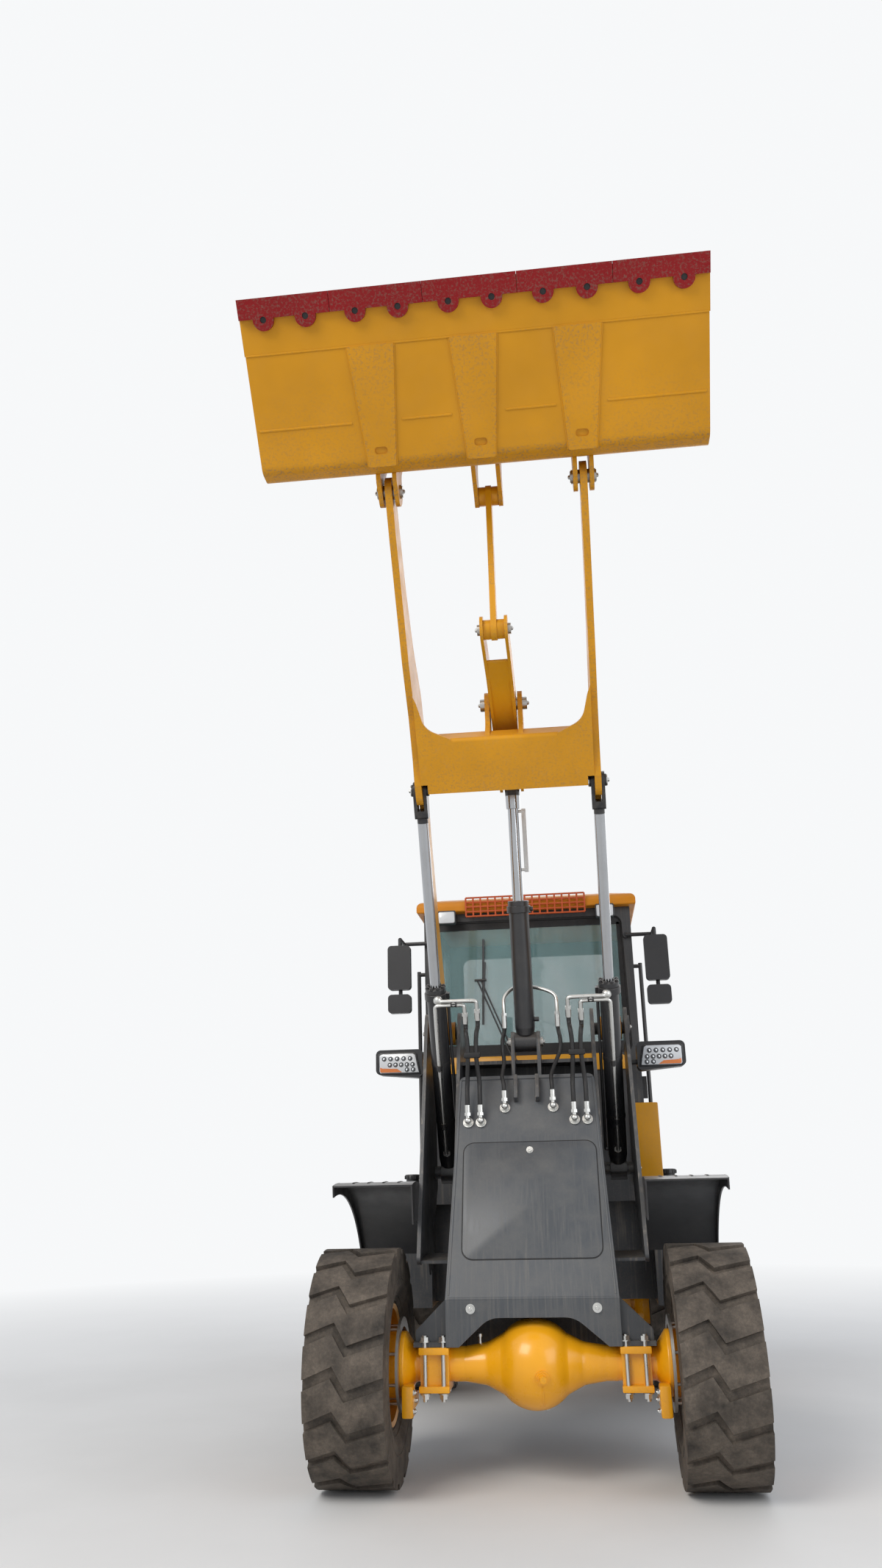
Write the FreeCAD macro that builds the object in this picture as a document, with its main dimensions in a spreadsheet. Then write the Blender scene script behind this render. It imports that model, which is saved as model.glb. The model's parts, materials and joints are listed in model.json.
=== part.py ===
import FreeCAD, Part

import math
import os
import re
from types import SimpleNamespace

os.makedirs("parts", exist_ok=True)
doc = FreeCAD.newDocument("wheel_loader")
Vector = FreeCAD.Vector

# Driving dimensions in millimetres and degrees.
# Heights count from the ground, and lengths count backwards from the front axle.
# Boom places are (along, above): along the line from boom pivot to bucket pin, and square to it.
# Bucket places are (ahead, above): ahead of the bucket pin along the floor, and square to the floor.
DRIVING_SIZES = [
    # wheels and axles
    ("tyre_radius", 537.5), ("tyre_width", 378), ("rim_radius", 262), ("rim_wall", 8),
    ("track", 1727), ("wheelbase", 2560), ("lug_height", 24), ("lug_count", 18),
    ("axle_tube_radius", 78), ("axle_bowl_radius", 205), ("axle_bowl_width", 355),
    ("axle_hub_radius", 150), ("axle_pad_inner", 420), ("axle_pad_outer", 560),
    ("shaft_radius", 34),
    # articulation between the two frames
    ("steer_y", 1280), ("steer_pin_radius", 35), ("tongue_radius", 108), ("tongue_thick", 40),
    ("upper_tongue_z", 1000), ("lower_tongue_z", 520), ("fork_thick", 30),
    ("steer_base_x", 220), ("steer_base_y", 1620), ("steer_rod_x", 300), ("steer_rod_y", 980),
    ("steer_height", 800), ("steer_barrel_radius", 34), ("steer_rod_radius", 18),
    # front frame
    ("inner_plate_x", 390), ("outer_plate_x", 585), ("frame_plate", 20),
    ("boom_pivot_y", 720), ("boom_pivot_z", 2220), ("pivot_pin_radius", 35),
    ("lift_base_y", 800), ("lift_base_z", 1430),
    ("tilt_base_y", 550), ("tilt_base_z", 2140), ("post_half_gap", 64), ("post_thick", 20),
    ("frame_foot_z", 628), ("frame_top_z", 2330), ("frame_back_y", 1030),
    # front cover
    ("cover_top_y", 430), ("cover_top_z", 1940), ("cover_top_half", 378),
    ("cover_fold_y", -120), ("cover_fold_z", 840), ("cover_fold_half", 428), ("cover_thick", 12),
    # boom
    ("boom_length", 3184), ("boom_raise", 52.9), ("arm_offset", 492), ("arm_thick", 36),
    ("arm_pivot_eye", 92), ("arm_tip_eye", 75), ("lift_pin_along", 1560), ("lift_boss", 75),
    ("beam_from", 1565), ("beam_to", 1874), ("beam_low", -90), ("beam_high", 40),
    ("crank_along", 1981), ("crank_above", 162), ("bracket_offset", 91), ("bracket_thick", 26),
    # bellcrank and link
    ("crank_link_along", 510), ("crank_link_above", -429),
    ("crank_rod_along", -544), ("crank_rod_above", 277),
    ("crank_half_width", 70), ("crank_plate", 16), ("crank_eye", 66), ("link_thick", 30),
    ("link_eye", 56), ("small_pin_radius", 28), ("link_pin_ahead", -89), ("link_pin_above", 212),
    # bucket
    ("bucket_roll", 50), ("bucket_width", 2170), ("edge_overhang", 20), ("bucket_wall", 12),
    ("bucket_side", 16), ("floor_depth", 165), ("edge_reach", 958), ("edge_plate_back", 716),
    ("heel_ahead", 106), ("lip_ahead", 330), ("lip_above", 720), ("edge_plate_thick", 24),
    ("segment_thick", 22), ("segment_depth", 92), ("lobe_radius", 50), ("segment_count", 5),
    ("ear_thick", 22), ("ear_gap", 60), ("centre_ear_gap", 104), ("pin_clearance", 0.4),
    # hydraulic cylinders
    ("lift_barrel_radius", 54), ("lift_barrel_length", 1130), ("lift_rod_radius", 30),
    ("tilt_barrel_radius", 58), ("tilt_barrel_length", 819), ("tilt_rod_radius", 32),
    ("fork_throat", 112), ("rod_clearance", 0.5),
    # cab
    ("cab_half", 700), ("cab_front_y", 1450), ("cab_back_y", 2780), ("cab_wall", 40),
    ("cab_floor_z", 1230), ("cab_sill_z", 1390), ("cab_top_z", 3100), ("roof_thick", 125),
    ("roof_overhang", 80), ("screen_low_z", 2140), ("screen_high_z", 3045), ("glass", 6),
    ("door_front_y", 1530), ("door_back_y", 2230), ("door_high_z", 3050), ("door_gap", 6),
    # rear frame and engine bay
    ("rail_x", 315), ("rail_thick", 30), ("rail_low_z", 620), ("rail_high_z", 960),
    ("bulkhead_y", 1690), ("rear_end_y", 3960), ("weight_front_y", 3790), ("weight_half", 640),
    ("hood_front_y", 2960), ("hood_back_y", 3780), ("hood_half", 430), ("hood_low_z", 1260),
    ("hood_high_z", 1930), ("hood_wall", 16), ("tank_front_y", 1520), ("tank_back_y", 1980),
    ("tank_top_z", 1360), ("tank_outer", 940), ("fender_inner", 595.3), ("fender_outer", 1030),
    ("front_fender_radius", 850), ("rear_fender_radius", 640), ("fender_thick", 8),
    # fittings
    ("lamp_x", 790), ("lamp_y", 900), ("lamp_z", 2062), ("lamp_wide", 286), ("lamp_high", 170),
    ("work_lamp_x", 530), ("work_lamp_z", 3060), ("mirror_x", 835), ("mirror_y", 1230),
    ("guard_bar", 6), ("rail_tube", 13), ("stack_radius", 45), ("stack_top_z", 2550),
]

sheet = doc.addObject("Spreadsheet::Sheet", "Sizes")
for row, (alias, value) in enumerate(DRIVING_SIZES, start=1):
    sheet.set(f"A{row}", alias)
    sheet.set(f"B{row}", str(value))
    sheet.setAlias(f"B{row}", alias)
doc.recompute()
size = SimpleNamespace(**{alias: float(sheet.get(alias)) for alias, _ in DRIVING_SIZES})

ALIAS = re.compile(r"[a-z][a-z_]*")
nodes = []
counter = {}


def bind(item, prop, formula):
    """Bind a property to a number or to a formula written with the sheet's aliases."""
    item.setExpression(prop, ALIAS.sub(lambda word: "Sizes." + word.group(0), written(formula)))


def written(formula):
    """A number or a formula as expression text."""
    return formula if isinstance(formula, str) else f"{formula:.6f}"


def difference(span):
    """The expression text for the length of a span."""
    return f"({written(span[1])}) - ({written(span[0])})"


def fresh(kind):
    """A new internal name for an object of this kind."""
    counter[kind] = counter.get(kind, 0) + 1
    return f"{kind}_{counter[kind]}"


# Shapes

def box(x_span, y_span, z_span):
    """A block between three pairs of formulas."""
    item = doc.addObject("Part::Box", fresh("box"))
    for prop, axis, span in zip(("Length", "Width", "Height"), "xyz", (x_span, y_span, z_span)):
        bind(item, prop, difference(span))
        low = span[0]
        bind(item, f"Placement.Base.{axis}", low)
    return item


TURNS = {
    "x": FreeCAD.Rotation(Vector(0, 1, 0), 90),
    "y": FreeCAD.Rotation(Vector(1, 0, 0), -90),
    "z": FreeCAD.Rotation(),
}


def rod(axis, radius, span, across):
    """A round bar along one axis; across gives its two other coordinates in x, y, z order."""
    item = doc.addObject("Part::Cylinder", fresh("rod"))
    item.Placement = FreeCAD.Placement(Vector(0, 0, 0), TURNS[axis])
    bind(item, "Radius", radius)
    bind(item, "Height", difference(span))
    others = [letter for letter in "xyz" if letter != axis]
    bind(item, f"Placement.Base.{axis}", span[0])
    for letter, formula in zip(others, across):
        bind(item, f"Placement.Base.{letter}", formula)
    return item


def rounded(points):
    """Edges of a closed outline whose corners (a, b, radius) are rounded."""
    corners = [(p[0], p[1], p[2] if len(p) > 2 else 0) for p in points]
    places = [Vector(a, b, 0) for a, b, _ in corners]
    cuts = []
    for index, (_, _, radius) in enumerate(corners):
        here = places[index]
        back = places[index - 1] - here
        ahead = places[(index + 1) % len(places)] - here
        half_turn = back.getAngle(ahead) / 2
        room = 0.49 * min(back.Length, ahead.Length)
        reach = min(radius / math.tan(half_turn), room) if radius else 0
        cuts.append((here + back.normalize() * reach, here + ahead.normalize() * reach, half_turn, reach))
    edges = []
    for index, (start, end, half_turn, reach) in enumerate(cuts):
        if reach > 1e-6:
            here = places[index]
            inward = ((start - here) + (end - here)).normalize()
            radius = reach * math.tan(half_turn)
            middle = here + inward * (radius / math.sin(half_turn) - radius)
            edges.append(Part.Arc(start, middle, end))
        following = cuts[(index + 1) % len(cuts)][0]
        if (following - end).Length > 1e-6:
            edges.append(Part.LineSegment(end, following))
    return edges


def sector(centre, inner, outer, start, stop):
    """Edges of a ring sector about centre, from one angle to another in degrees."""
    def at(radius, angle):
        turn = math.radians(angle)
        return Vector(centre[0] + radius * math.cos(turn), centre[1] + radius * math.sin(turn), 0)
    middle = (start + stop) / 2
    return [
        Part.Arc(at(outer, start), at(outer, middle), at(outer, stop)),
        Part.LineSegment(at(outer, stop), at(inner, stop)),
        Part.Arc(at(inner, stop), at(inner, middle), at(inner, start)),
        Part.LineSegment(at(inner, start), at(outer, start)),
    ]


def origin_plane(body, role):
    """One of a body's own origin planes."""
    return next(item for item in body.Origin.OriginFeatures if item.Role == role)


def sketch_on(body, role, outlines, holes):
    """A sketch on a body's origin plane with outlines and round holes (a, b, radius)."""
    sketch = body.newObject("Sketcher::SketchObject", fresh("sketch"))
    sketch.AttachmentSupport = (origin_plane(body, role), [""])
    sketch.MapMode = "FlatFace"
    for outline in outlines:
        for edge in outline:
            sketch.addGeometry(edge, False)
    for a, b, radius in holes:
        sketch.addGeometry(Part.Circle(Vector(a, b, 0), Vector(0, 0, 1), radius), False)
    return sketch


def plate(plane, span, outline, holes=(), windows=()):
    """A flat plate: a rounded outline in a plane, padded along the third axis over span.

    plane "yz" pads along x, "xz" along y and "xy" along z.
    """
    body = doc.addObject("PartDesign::Body", fresh("plate"))
    edges = outline if isinstance(outline[0], (Part.Arc, Part.LineSegment)) else rounded(outline)
    outlines = [edges] + [rounded(window) for window in windows]
    sketch = sketch_on(body, plane.upper() + "_Plane", outlines, holes)
    pad = body.newObject("PartDesign::Pad", fresh("pad"))
    pad.Profile = sketch
    bind(pad, "Length", difference(span))
    letter = next(letter for letter in "xyz" if letter not in plane)
    start = span[1] if plane == "xz" else span[0]
    bind(body, f"Placement.Base.{letter}", start)
    return body


def turned(axis, outline, at=("0", "0", "0")):
    """A turned piece: outline (along, radius, rounding) revolved about an axis through at."""
    body = doc.addObject("PartDesign::Body", fresh("turned"))
    if axis == "z":
        points = [(p[1], p[0]) + tuple(p[2:]) for p in outline]
    else:
        points = outline
    role = {"x": "XZ_Plane", "y": "YZ_Plane", "z": "XZ_Plane"}[axis]
    sketch = sketch_on(body, role, [rounded(points)], ())
    feature = body.newObject("PartDesign::Revolution", fresh("revolution"))
    feature.Profile = sketch
    feature.ReferenceAxis = (sketch, ["V_Axis" if axis == "z" else "H_Axis"])
    feature.Angle = 360
    for letter, formula in zip("xyz", at):
        bind(body, f"Placement.Base.{letter}", formula)
    return body


def fuse(*pieces):
    """One shape from several pieces; pieces that don't touch stay separate solids."""
    if len(pieces) == 1:
        return pieces[0]
    item = doc.addObject("Part::MultiFuse", fresh("fuse"))
    item.Shapes = list(pieces)
    return item


def cut(base, *tools):
    """A base with the tools taken away."""
    item = doc.addObject("Part::Cut", fresh("cut"))
    item.Base = base
    item.Tool = fuse(*tools)
    return item


def common(first, second):
    """What two shapes share."""
    item = doc.addObject("Part::Common", fresh("common"))
    item.Base = first
    item.Tool = second
    return item


def node(label, *pieces, frame=None):
    """A finished sub-part: its pieces joined, in the frame of what carries it."""
    if len(pieces) > 1:
        item = fuse(*pieces)
    else:
        item = doc.addObject("Part::Compound", fresh("single"))
        item.Links = list(pieces)
    item.Label = label
    if frame is not None:
        item.Placement = frame
    nodes.append(item)
    return item


def aim(start, end, x=0.0):
    """A frame at start whose +Z points to end, both (y, z) places."""
    turn = math.degrees(math.atan2(-(end[0] - start[0]), end[1] - start[1]))
    return FreeCAD.Placement(Vector(x, start[0], start[1]), FreeCAD.Rotation(Vector(1, 0, 0), turn))


def capsule(stations):
    """Outline of a bar through stations (a, b, half_width), rounded at both ends."""
    left = []
    right = []
    for index, (a, b, half) in enumerate(stations):
        before = stations[max(index - 1, 0)]
        after = stations[min(index + 1, len(stations) - 1)]
        run = Vector(after[0] - before[0], after[1] - before[1], 0).normalize()
        side = Vector(-run.y, run.x, 0)
        extend = 0.0
        if index == 0:
            extend = -half
        if index == len(stations) - 1:
            extend = half
        rounding = half * 0.98 if extend else half * 3
        centre = Vector(a, b, 0) + run * extend
        left.append((centre.x + side.x * half, centre.y + side.y * half, rounding))
        right.append((centre.x - side.x * half, centre.y - side.y * half, rounding))
    return left + right[::-1]


# Places worked out from the driving dimensions

raise_angle = math.radians(size.boom_raise)
along_y, along_z = -math.cos(raise_angle), math.sin(raise_angle)
above_y, above_z = math.sin(raise_angle), math.cos(raise_angle)


def on_boom(along, above):
    """The (y, z) place of a point given along and above the boom line."""
    return (size.boom_pivot_y + along * along_y + above * above_y,
            size.boom_pivot_z + along * along_z + above * above_z)


bucket_pin = on_boom(size.boom_length, 0)
lift_pin = on_boom(size.lift_pin_along, 0)
crank_pin = on_boom(size.crank_along, size.crank_above)
crank_link_pin = on_boom(size.crank_along + size.crank_link_along, size.crank_above + size.crank_link_above)
crank_rod_pin = on_boom(size.crank_along + size.crank_rod_along, size.crank_above + size.crank_rod_above)
roll_angle = math.radians(size.bucket_roll)
bucket_link_pin = (
    bucket_pin[0] - size.link_pin_ahead * math.cos(roll_angle) + size.link_pin_above * math.sin(roll_angle),
    bucket_pin[1] + size.link_pin_ahead * math.sin(roll_angle) + size.link_pin_above * math.cos(roll_angle))
lift_base = (size.lift_base_y, size.lift_base_z)
tilt_base = (size.tilt_base_y, size.tilt_base_z)
lift_length = math.dist(lift_base, lift_pin)
tilt_length = math.dist(tilt_base, crank_rod_pin)
link_length = math.dist(crank_link_pin, bucket_link_pin)

boom_frame = FreeCAD.Placement(
    Vector(0, size.boom_pivot_y, size.boom_pivot_z),
    FreeCAD.Rotation(Vector(1, 0, 0), -size.boom_raise))
crank_frame = FreeCAD.Placement(
    Vector(0, crank_pin[0], crank_pin[1]), FreeCAD.Rotation(Vector(1, 0, 0), -size.boom_raise))
bucket_frame = FreeCAD.Placement(
    Vector(0, bucket_pin[0], bucket_pin[1]), FreeCAD.Rotation(Vector(1, 0, 0), -size.bucket_roll))
tilt_frame = aim(tilt_base, crank_rod_pin)
link_frame = aim(crank_link_pin, bucket_link_pin)
SIDES = (("left", 1), ("right", -1))
axle_z = "tyre_radius"


# Wheels

# One tread groove seen from outside: (across, along) from its middle, shoulder to shoulder.
GROOVE = [
    (-196, 14), (-50, 72), (14, -30), (196, 26),
    (196, -22), (6, -78), (-58, 22), (-196, -34),
]


def tread_grooves():
    """The tread's zigzag grooves round the x axis, open outwards."""
    body = doc.addObject("PartDesign::Body", fresh("grooves"))
    body.AllowCompound = True
    sketch = sketch_on(body, "XZ_Plane", [rounded(GROOVE)], ())
    bind(sketch, "AttachmentOffset.Base.z", "tyre_radius - lug_height")
    pad = body.newObject("PartDesign::Pad", fresh("pad"))
    pad.Profile = sketch
    bind(pad, "Length", "lug_height + 30")
    ring = body.newObject("PartDesign::PolarPattern", fresh("ring"))
    ring.Originals = [pad]
    ring.Axis = (origin_plane(body, "X_Axis"), [""])
    ring.Angle = 360
    bind(ring, "Occurrences", "lug_count")
    body.Tip = ring
    return body


def tyre():
    """A tyre about the x axis with its tread grooves cut from the crown."""
    half = size.tyre_width / 2
    bead = size.rim_radius + 0.3
    tip = size.tyre_radius
    profile = [
        (-138, bead), (-half, bead + 95), (-half, tip), (half, tip), (half, bead + 95), (138, bead),
    ]
    return cut(turned("x", profile), tread_grooves())


def rim():
    """A dished rim about the x axis with its outer face towards +x."""
    seat = size.rim_radius
    inner = seat - size.rim_wall
    flange = seat + 14
    profile = [
        (62, 0), (62, inner), (-150, inner), (-156, flange), (-147, flange), (-140, seat),
        (140, seat), (147, flange), (156, flange), (150, inner), (78, inner - 12, 10),
        (78, 150, 10), (140, 118, 10), (172, 96, 14), (172, 0),
    ]
    disc = turned("x", profile)
    windows = []
    for step in range(8):
        turn = math.radians(step * 45)
        reach = size.rim_radius * 0.76
        windows.append(rod("x", 22, (50, 90), (reach * math.cos(turn), reach * math.sin(turn))))
    return cut(disc, *windows)


worn_tyre = tyre()
for end, wheel_y in (("front", 0.0), ("rear", size.wheelbase)):
    for side, sign in SIDES:
        spin = FreeCAD.Rotation(Vector(0, 0, 1), 0 if sign > 0 else 180)
        place = FreeCAD.Placement(Vector(sign * size.track / 2, wheel_y, size.tyre_radius), spin)
        flat = FreeCAD.Placement(place.Base, FreeCAD.Rotation())
        node(f"tyre_{end}_{side}", worn_tyre, frame=flat)
        node(f"rim_{end}_{side}", rim(), frame=place)


# Axles

def axle(centre_y):
    """A drive axle: differential bowl, tubes, spring pads, clamp plates and hub drums."""
    bowl = size.axle_bowl_radius
    half = size.axle_bowl_width / 2
    tube = size.axle_tube_radius
    hub_end = size.track / 2 + 61.7
    right_half = [
        (0, bowl), (half * 0.45, bowl * 0.94, 60), (half * 0.85, bowl * 0.68, 60), (half * 1.35, 96, 80),
        (half * 2, tube, 60), (590, tube, 20), (612, size.axle_hub_radius * 0.75, 10),
        (640, size.axle_hub_radius, 8), (hub_end, size.axle_hub_radius), (hub_end, 0),
    ]
    left_half = [(-p[0],) + tuple(p[1:]) for p in reversed(right_half)]
    housing = turned("x", right_half[1:] + left_half[:-1], ("0", str(centre_y), axle_z))
    pieces = [housing]
    for _, sign in SIDES:
        inner, outer = sorted((sign * size.axle_pad_inner, sign * size.axle_pad_outer))
        pieces.append(box((inner, outer), (f"{centre_y} - 95", f"{centre_y} + 95"),
                          ("tyre_radius - 84", "frame_foot_z - 0.3")))
        pieces.append(box((inner, outer), (f"{centre_y} - 95", f"{centre_y} + 95"),
                          ("tyre_radius - 112", "tyre_radius - 84")))
        for step in (-1, 1):
            for x in (sign * (size.axle_pad_inner + 25), sign * (size.axle_pad_outer - 25)):
                pieces.append(rod("z", 11, ("tyre_radius - 140", "frame_foot_z - 10"),
                                  (x, f"{centre_y} + {step * 70}")))
    return pieces


def inclined_shaft(start, end, radius):
    """A round shaft between two (y, z) places."""
    length = math.dist(start, end)
    shaft = turned("z", [(0, 0), (0, radius * 1.5), (60, radius * 1.5, 10), (90, radius),
                         (length - 90, radius), (length - 60, radius * 1.5, 10),
                         (length, radius * 1.5), (length, 0)])
    holder = doc.addObject("Part::Compound", fresh("shaft"))
    holder.Links = [shaft]
    holder.Placement = aim(start, end)
    return holder


front_shaft = inclined_shaft((size.axle_bowl_radius - 30, size.tyre_radius + 20),
                             (size.steer_y - 44, 735), size.shaft_radius)
node("front_axle", *axle(0), front_shaft)
node("rear_axle", *axle(size.wheelbase))


# Front frame

steer_ear_low = size.steer_height - 54
steer_ear_high = size.steer_height + 40


def tower_inner(sign):
    """One inner side plate of the tower, from the axle seat to the boom pivot."""
    face = sorted((sign * (size.inner_plate_x - size.frame_plate / 2),
                   sign * (size.inner_plate_x + size.frame_plate / 2)))
    outline = [
        (size.cover_fold_y, size.frame_foot_z), (size.cover_fold_y, size.cover_fold_z),
        (size.cover_top_y, size.cover_top_z), (590, size.frame_top_z, 60), (830, size.frame_top_z, 80),
        (900, 2150, 60), (980, 1400, 80), (size.frame_back_y, 1080, 60), (size.frame_back_y, 510, 30),
        (260, 510, 30), (150, size.frame_foot_z, 30),
    ]
    return plate("yz", face, outline)


def tower_outer(sign):
    """One outer side plate of the tower, round the boom pivot and the lift cylinder's foot."""
    face = sorted((sign * (size.outer_plate_x - size.frame_plate / 2),
                   sign * (size.outer_plate_x + size.frame_plate / 2)))
    outline = [
        (70, 1010, 40), (500, 2100, 200), (600, size.frame_top_z, 60), (830, size.frame_top_z, 80),
        (890, 2150, 60), (900, 1350, 60), (780, 1230, 60), (420, 1000, 80), (90, 985, 20),
    ]
    return plate("yz", face, outline)


def tongue(low):
    """A hinge tongue at the back of the front frame."""
    reach = size.tongue_radius
    outline = [
        (-reach, size.steer_y + reach, reach), (reach, size.steer_y + reach, reach),
        (reach, size.steer_y - 110, 60), (380, 900, 40), (380, 420), (-380, 420), (-380, 900, 40),
        (-reach, size.steer_y - 110, 60),
    ]
    bore = size.steer_pin_radius + size.pin_clearance
    return plate("xy", (low, f"{low} + tongue_thick"), outline, [(0, size.steer_y, bore)])


inner_face = size.inner_plate_x - size.frame_plate / 2
outer_face = size.outer_plate_x + size.frame_plate / 2


def front_tower():
    """The two flanks of the front frame, each with its plates, pins, axle seat and steering ears."""
    flanks = []
    for _, sign in SIDES:
        web = sorted((sign * (size.inner_plate_x + 10), sign * (size.outer_plate_x - 10)))
        flank = [tower_inner(sign), tower_outer(sign)]
        flank.append(plate("yz", web, [(100, 990), (100, 1005), (400, 1019), (400, 1004)]))
        for y, z in ((size.boom_pivot_y, size.boom_pivot_z), lift_base):
            pin = sorted((sign * (inner_face + 5), sign * (outer_face + 5)))
            flank.append(rod("x", "pivot_pin_radius", pin, (y, z)))
            cap = sorted((sign * outer_face, sign * (outer_face + 14)))
            flank.append(rod("x", 72, cap, (y, z)))
        seat = sorted((sign * (size.inner_plate_x + 10), sign * 590))
        flank.append(box(seat, (-119, 120), ("frame_foot_z", "frame_foot_z + 22")))
        near = sign * (size.inner_plate_x + 10)
        far = sign * (size.outer_plate_x - 4)
        flank.append(plate("xz", (-95, -75), [(near, 640), (far, 640), (far, 700, 20), (near, 870)]))
        inner = sorted((sign * (size.steer_rod_x - 38), sign * (inner_face + 2)))
        for low in (steer_ear_low, steer_ear_high):
            flank.append(box(inner, ("steer_rod_y - 38", "steer_rod_y + 38"), (low, low + 14)))
        for low in (steer_ear_low - 8, steer_ear_high + 14):
            flank.append(rod("z", 24, (low, low + 8), (sign * size.steer_rod_x, "steer_rod_y")))
        flanks.append(fuse(*flank))
    return flanks


def front_frame():
    """The middle of the front frame: walls, valve shelf, tilt cylinder posts and hinge tongues."""
    floor = box((-inner_face, inner_face), (560, 860), (2020, 2040))
    back = box((-inner_face, inner_face), (850, 870), (1040, 2030))
    wall = plate("xz", (400, 440), [
        (-inner_face, 540), (inner_face, 540), (inner_face, 1020), (-inner_face, 1020)], [(0, 605, 58)])
    post = [(450, 1930), (480, 2160, 60), (560, 2210, 60), (630, 2180, 60), (660, 2030), (600, 1930)]
    posts = []
    for _, sign in SIDES:
        faces = sorted((sign * size.post_half_gap, sign * (size.post_half_gap + size.post_thick)))
        bore = size.small_pin_radius + size.pin_clearance
        posts.append(plate("yz", faces, post, [(size.tilt_base_y, size.tilt_base_z, bore)]))
    return fuse(tongue("upper_tongue_z"), tongue("lower_tongue_z"), floor, back, wall, *posts)


node("front_tower", *front_tower())
node("front_frame", front_frame())


def front_cover():
    """The sloped cover plate with its fold, its foot and the notch over the differential."""
    slope = Vector(size.cover_top_y - size.cover_fold_y, size.cover_top_z - size.cover_fold_z, 0).normalize()
    out_y, out_z = -slope.y * size.cover_thick, slope.x * size.cover_thick
    gap = 0.3
    strip = [
        (size.cover_fold_y - gap, size.frame_foot_z), (size.cover_fold_y - gap, size.cover_fold_z),
        (size.cover_top_y - gap, size.cover_top_z), (size.cover_top_y + out_y - gap, size.cover_top_z + out_z),
        (size.cover_fold_y + out_y - gap, size.cover_fold_z + out_z * 0.4),
        (size.cover_fold_y - size.cover_thick - gap, size.frame_foot_z),
    ]
    sheet_metal = plate("yz", (-size.cover_fold_half, size.cover_fold_half), strip)
    front = plate("xz", (-200, 520), [
        (-size.cover_fold_half, size.frame_foot_z), (-150, size.frame_foot_z), (-95, 752, 20), (95, 752, 20),
        (150, size.frame_foot_z), (size.cover_fold_half, size.frame_foot_z),
        (size.cover_fold_half, size.cover_fold_z), (size.cover_top_half, size.cover_top_z + 20, 40),
        (-size.cover_top_half, size.cover_top_z + 20, 40), (-size.cover_fold_half, size.cover_fold_z),
    ])
    return common(sheet_metal, front)


node("front_cover", front_cover())


def front_fender(sign):
    """A front fender arch with its inner wall and its bracket to the tower."""
    x_span = sorted((sign * size.fender_inner, sign * (size.fender_outer - 15)))
    centre = (100, size.tyre_radius)
    radius = size.front_fender_radius
    arch = plate("yz", x_span, sector(centre, radius, radius + size.fender_thick, 32, 100))
    wall_face = sorted((sign * size.fender_inner, sign * (size.fender_inner + size.fender_thick)))
    wall = plate("yz", wall_face, sector(centre, radius - 190, radius, 32, 100))
    lip_face = sorted((sign * (size.fender_outer - 15 - size.fender_thick), sign * (size.fender_outer - 15)))
    lip = plate("yz", lip_face, sector(centre, radius - 50, radius, 32, 100))
    return fuse(arch, wall, lip)


node("front_fenders", front_fender(1), front_fender(-1))


def headlight(sign):
    """A headlight case on its arm from the tower."""
    half_wide = size.lamp_wide / 2
    half_high = size.lamp_high / 2
    lamp_x = sign * size.lamp_x
    low, high = lamp_x - half_wide, lamp_x + half_wide
    outline = [
        (low, size.lamp_z - half_high + (0 if sign > 0 else 25), 30),
        (high, size.lamp_z - half_high + (25 if sign > 0 else 0), 30),
        (high, size.lamp_z + half_high, 30), (low, size.lamp_z + half_high, 30),
    ]
    case = plate("xz", ("lamp_y - 70", "lamp_y + 60"), outline)
    arm_span = sorted((sign * (size.outer_plate_x + 10.3), lamp_x))
    arm = rod("x", 16, arm_span, ("lamp_y - 60 + 50", "lamp_z - 30"))
    foot_face = sorted((sign * (size.outer_plate_x + 10.3), sign * (size.outer_plate_x + 22)))
    foot = plate("yz", foot_face, [(790, 1980, 10), (930, 1980, 30), (930, 2090, 30), (790, 2090, 10)])
    return fuse(case, arm, foot)


node("headlights", headlight(1), headlight(-1))


# Boom

def arm(sign):
    """One boom arm plate in the boom's own frame."""
    centre = sign * size.arm_offset
    faces = (centre - size.arm_thick / 2, centre + size.arm_thick / 2)
    tip = size.boom_length + size.arm_tip_eye
    eye = size.arm_pivot_eye
    pin = size.lift_pin_along
    contour = [
        (-eye, eye, 88), (600, 95, 900), (1250, 150, 900), (1780, 315, 300), (2020, 315, 250),
        (2330, 170, 400), (2700, 95, 800), (tip, size.arm_tip_eye, 73), (tip, -size.arm_tip_eye, 73),
        (2950, -92, 400), (2300, -92, 300), (1990, -50, 200), (1760, -60, 80), (pin + 60, -88, 60),
        (pin - 62, -86, 60), (pin - 90, 38, 40), (pin - 200, 36, 200), (1150, -20, 500), (900, -62, 600),
        (500, -100, 600), (-eye, -eye, 88),
    ]
    outline = [(-along, above, radius) for along, above, radius in contour]
    bore = size.pivot_pin_radius + size.pin_clearance
    return plate("yz", faces, outline, [(0, 0, bore), (-size.boom_length, 0, bore)])


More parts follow.
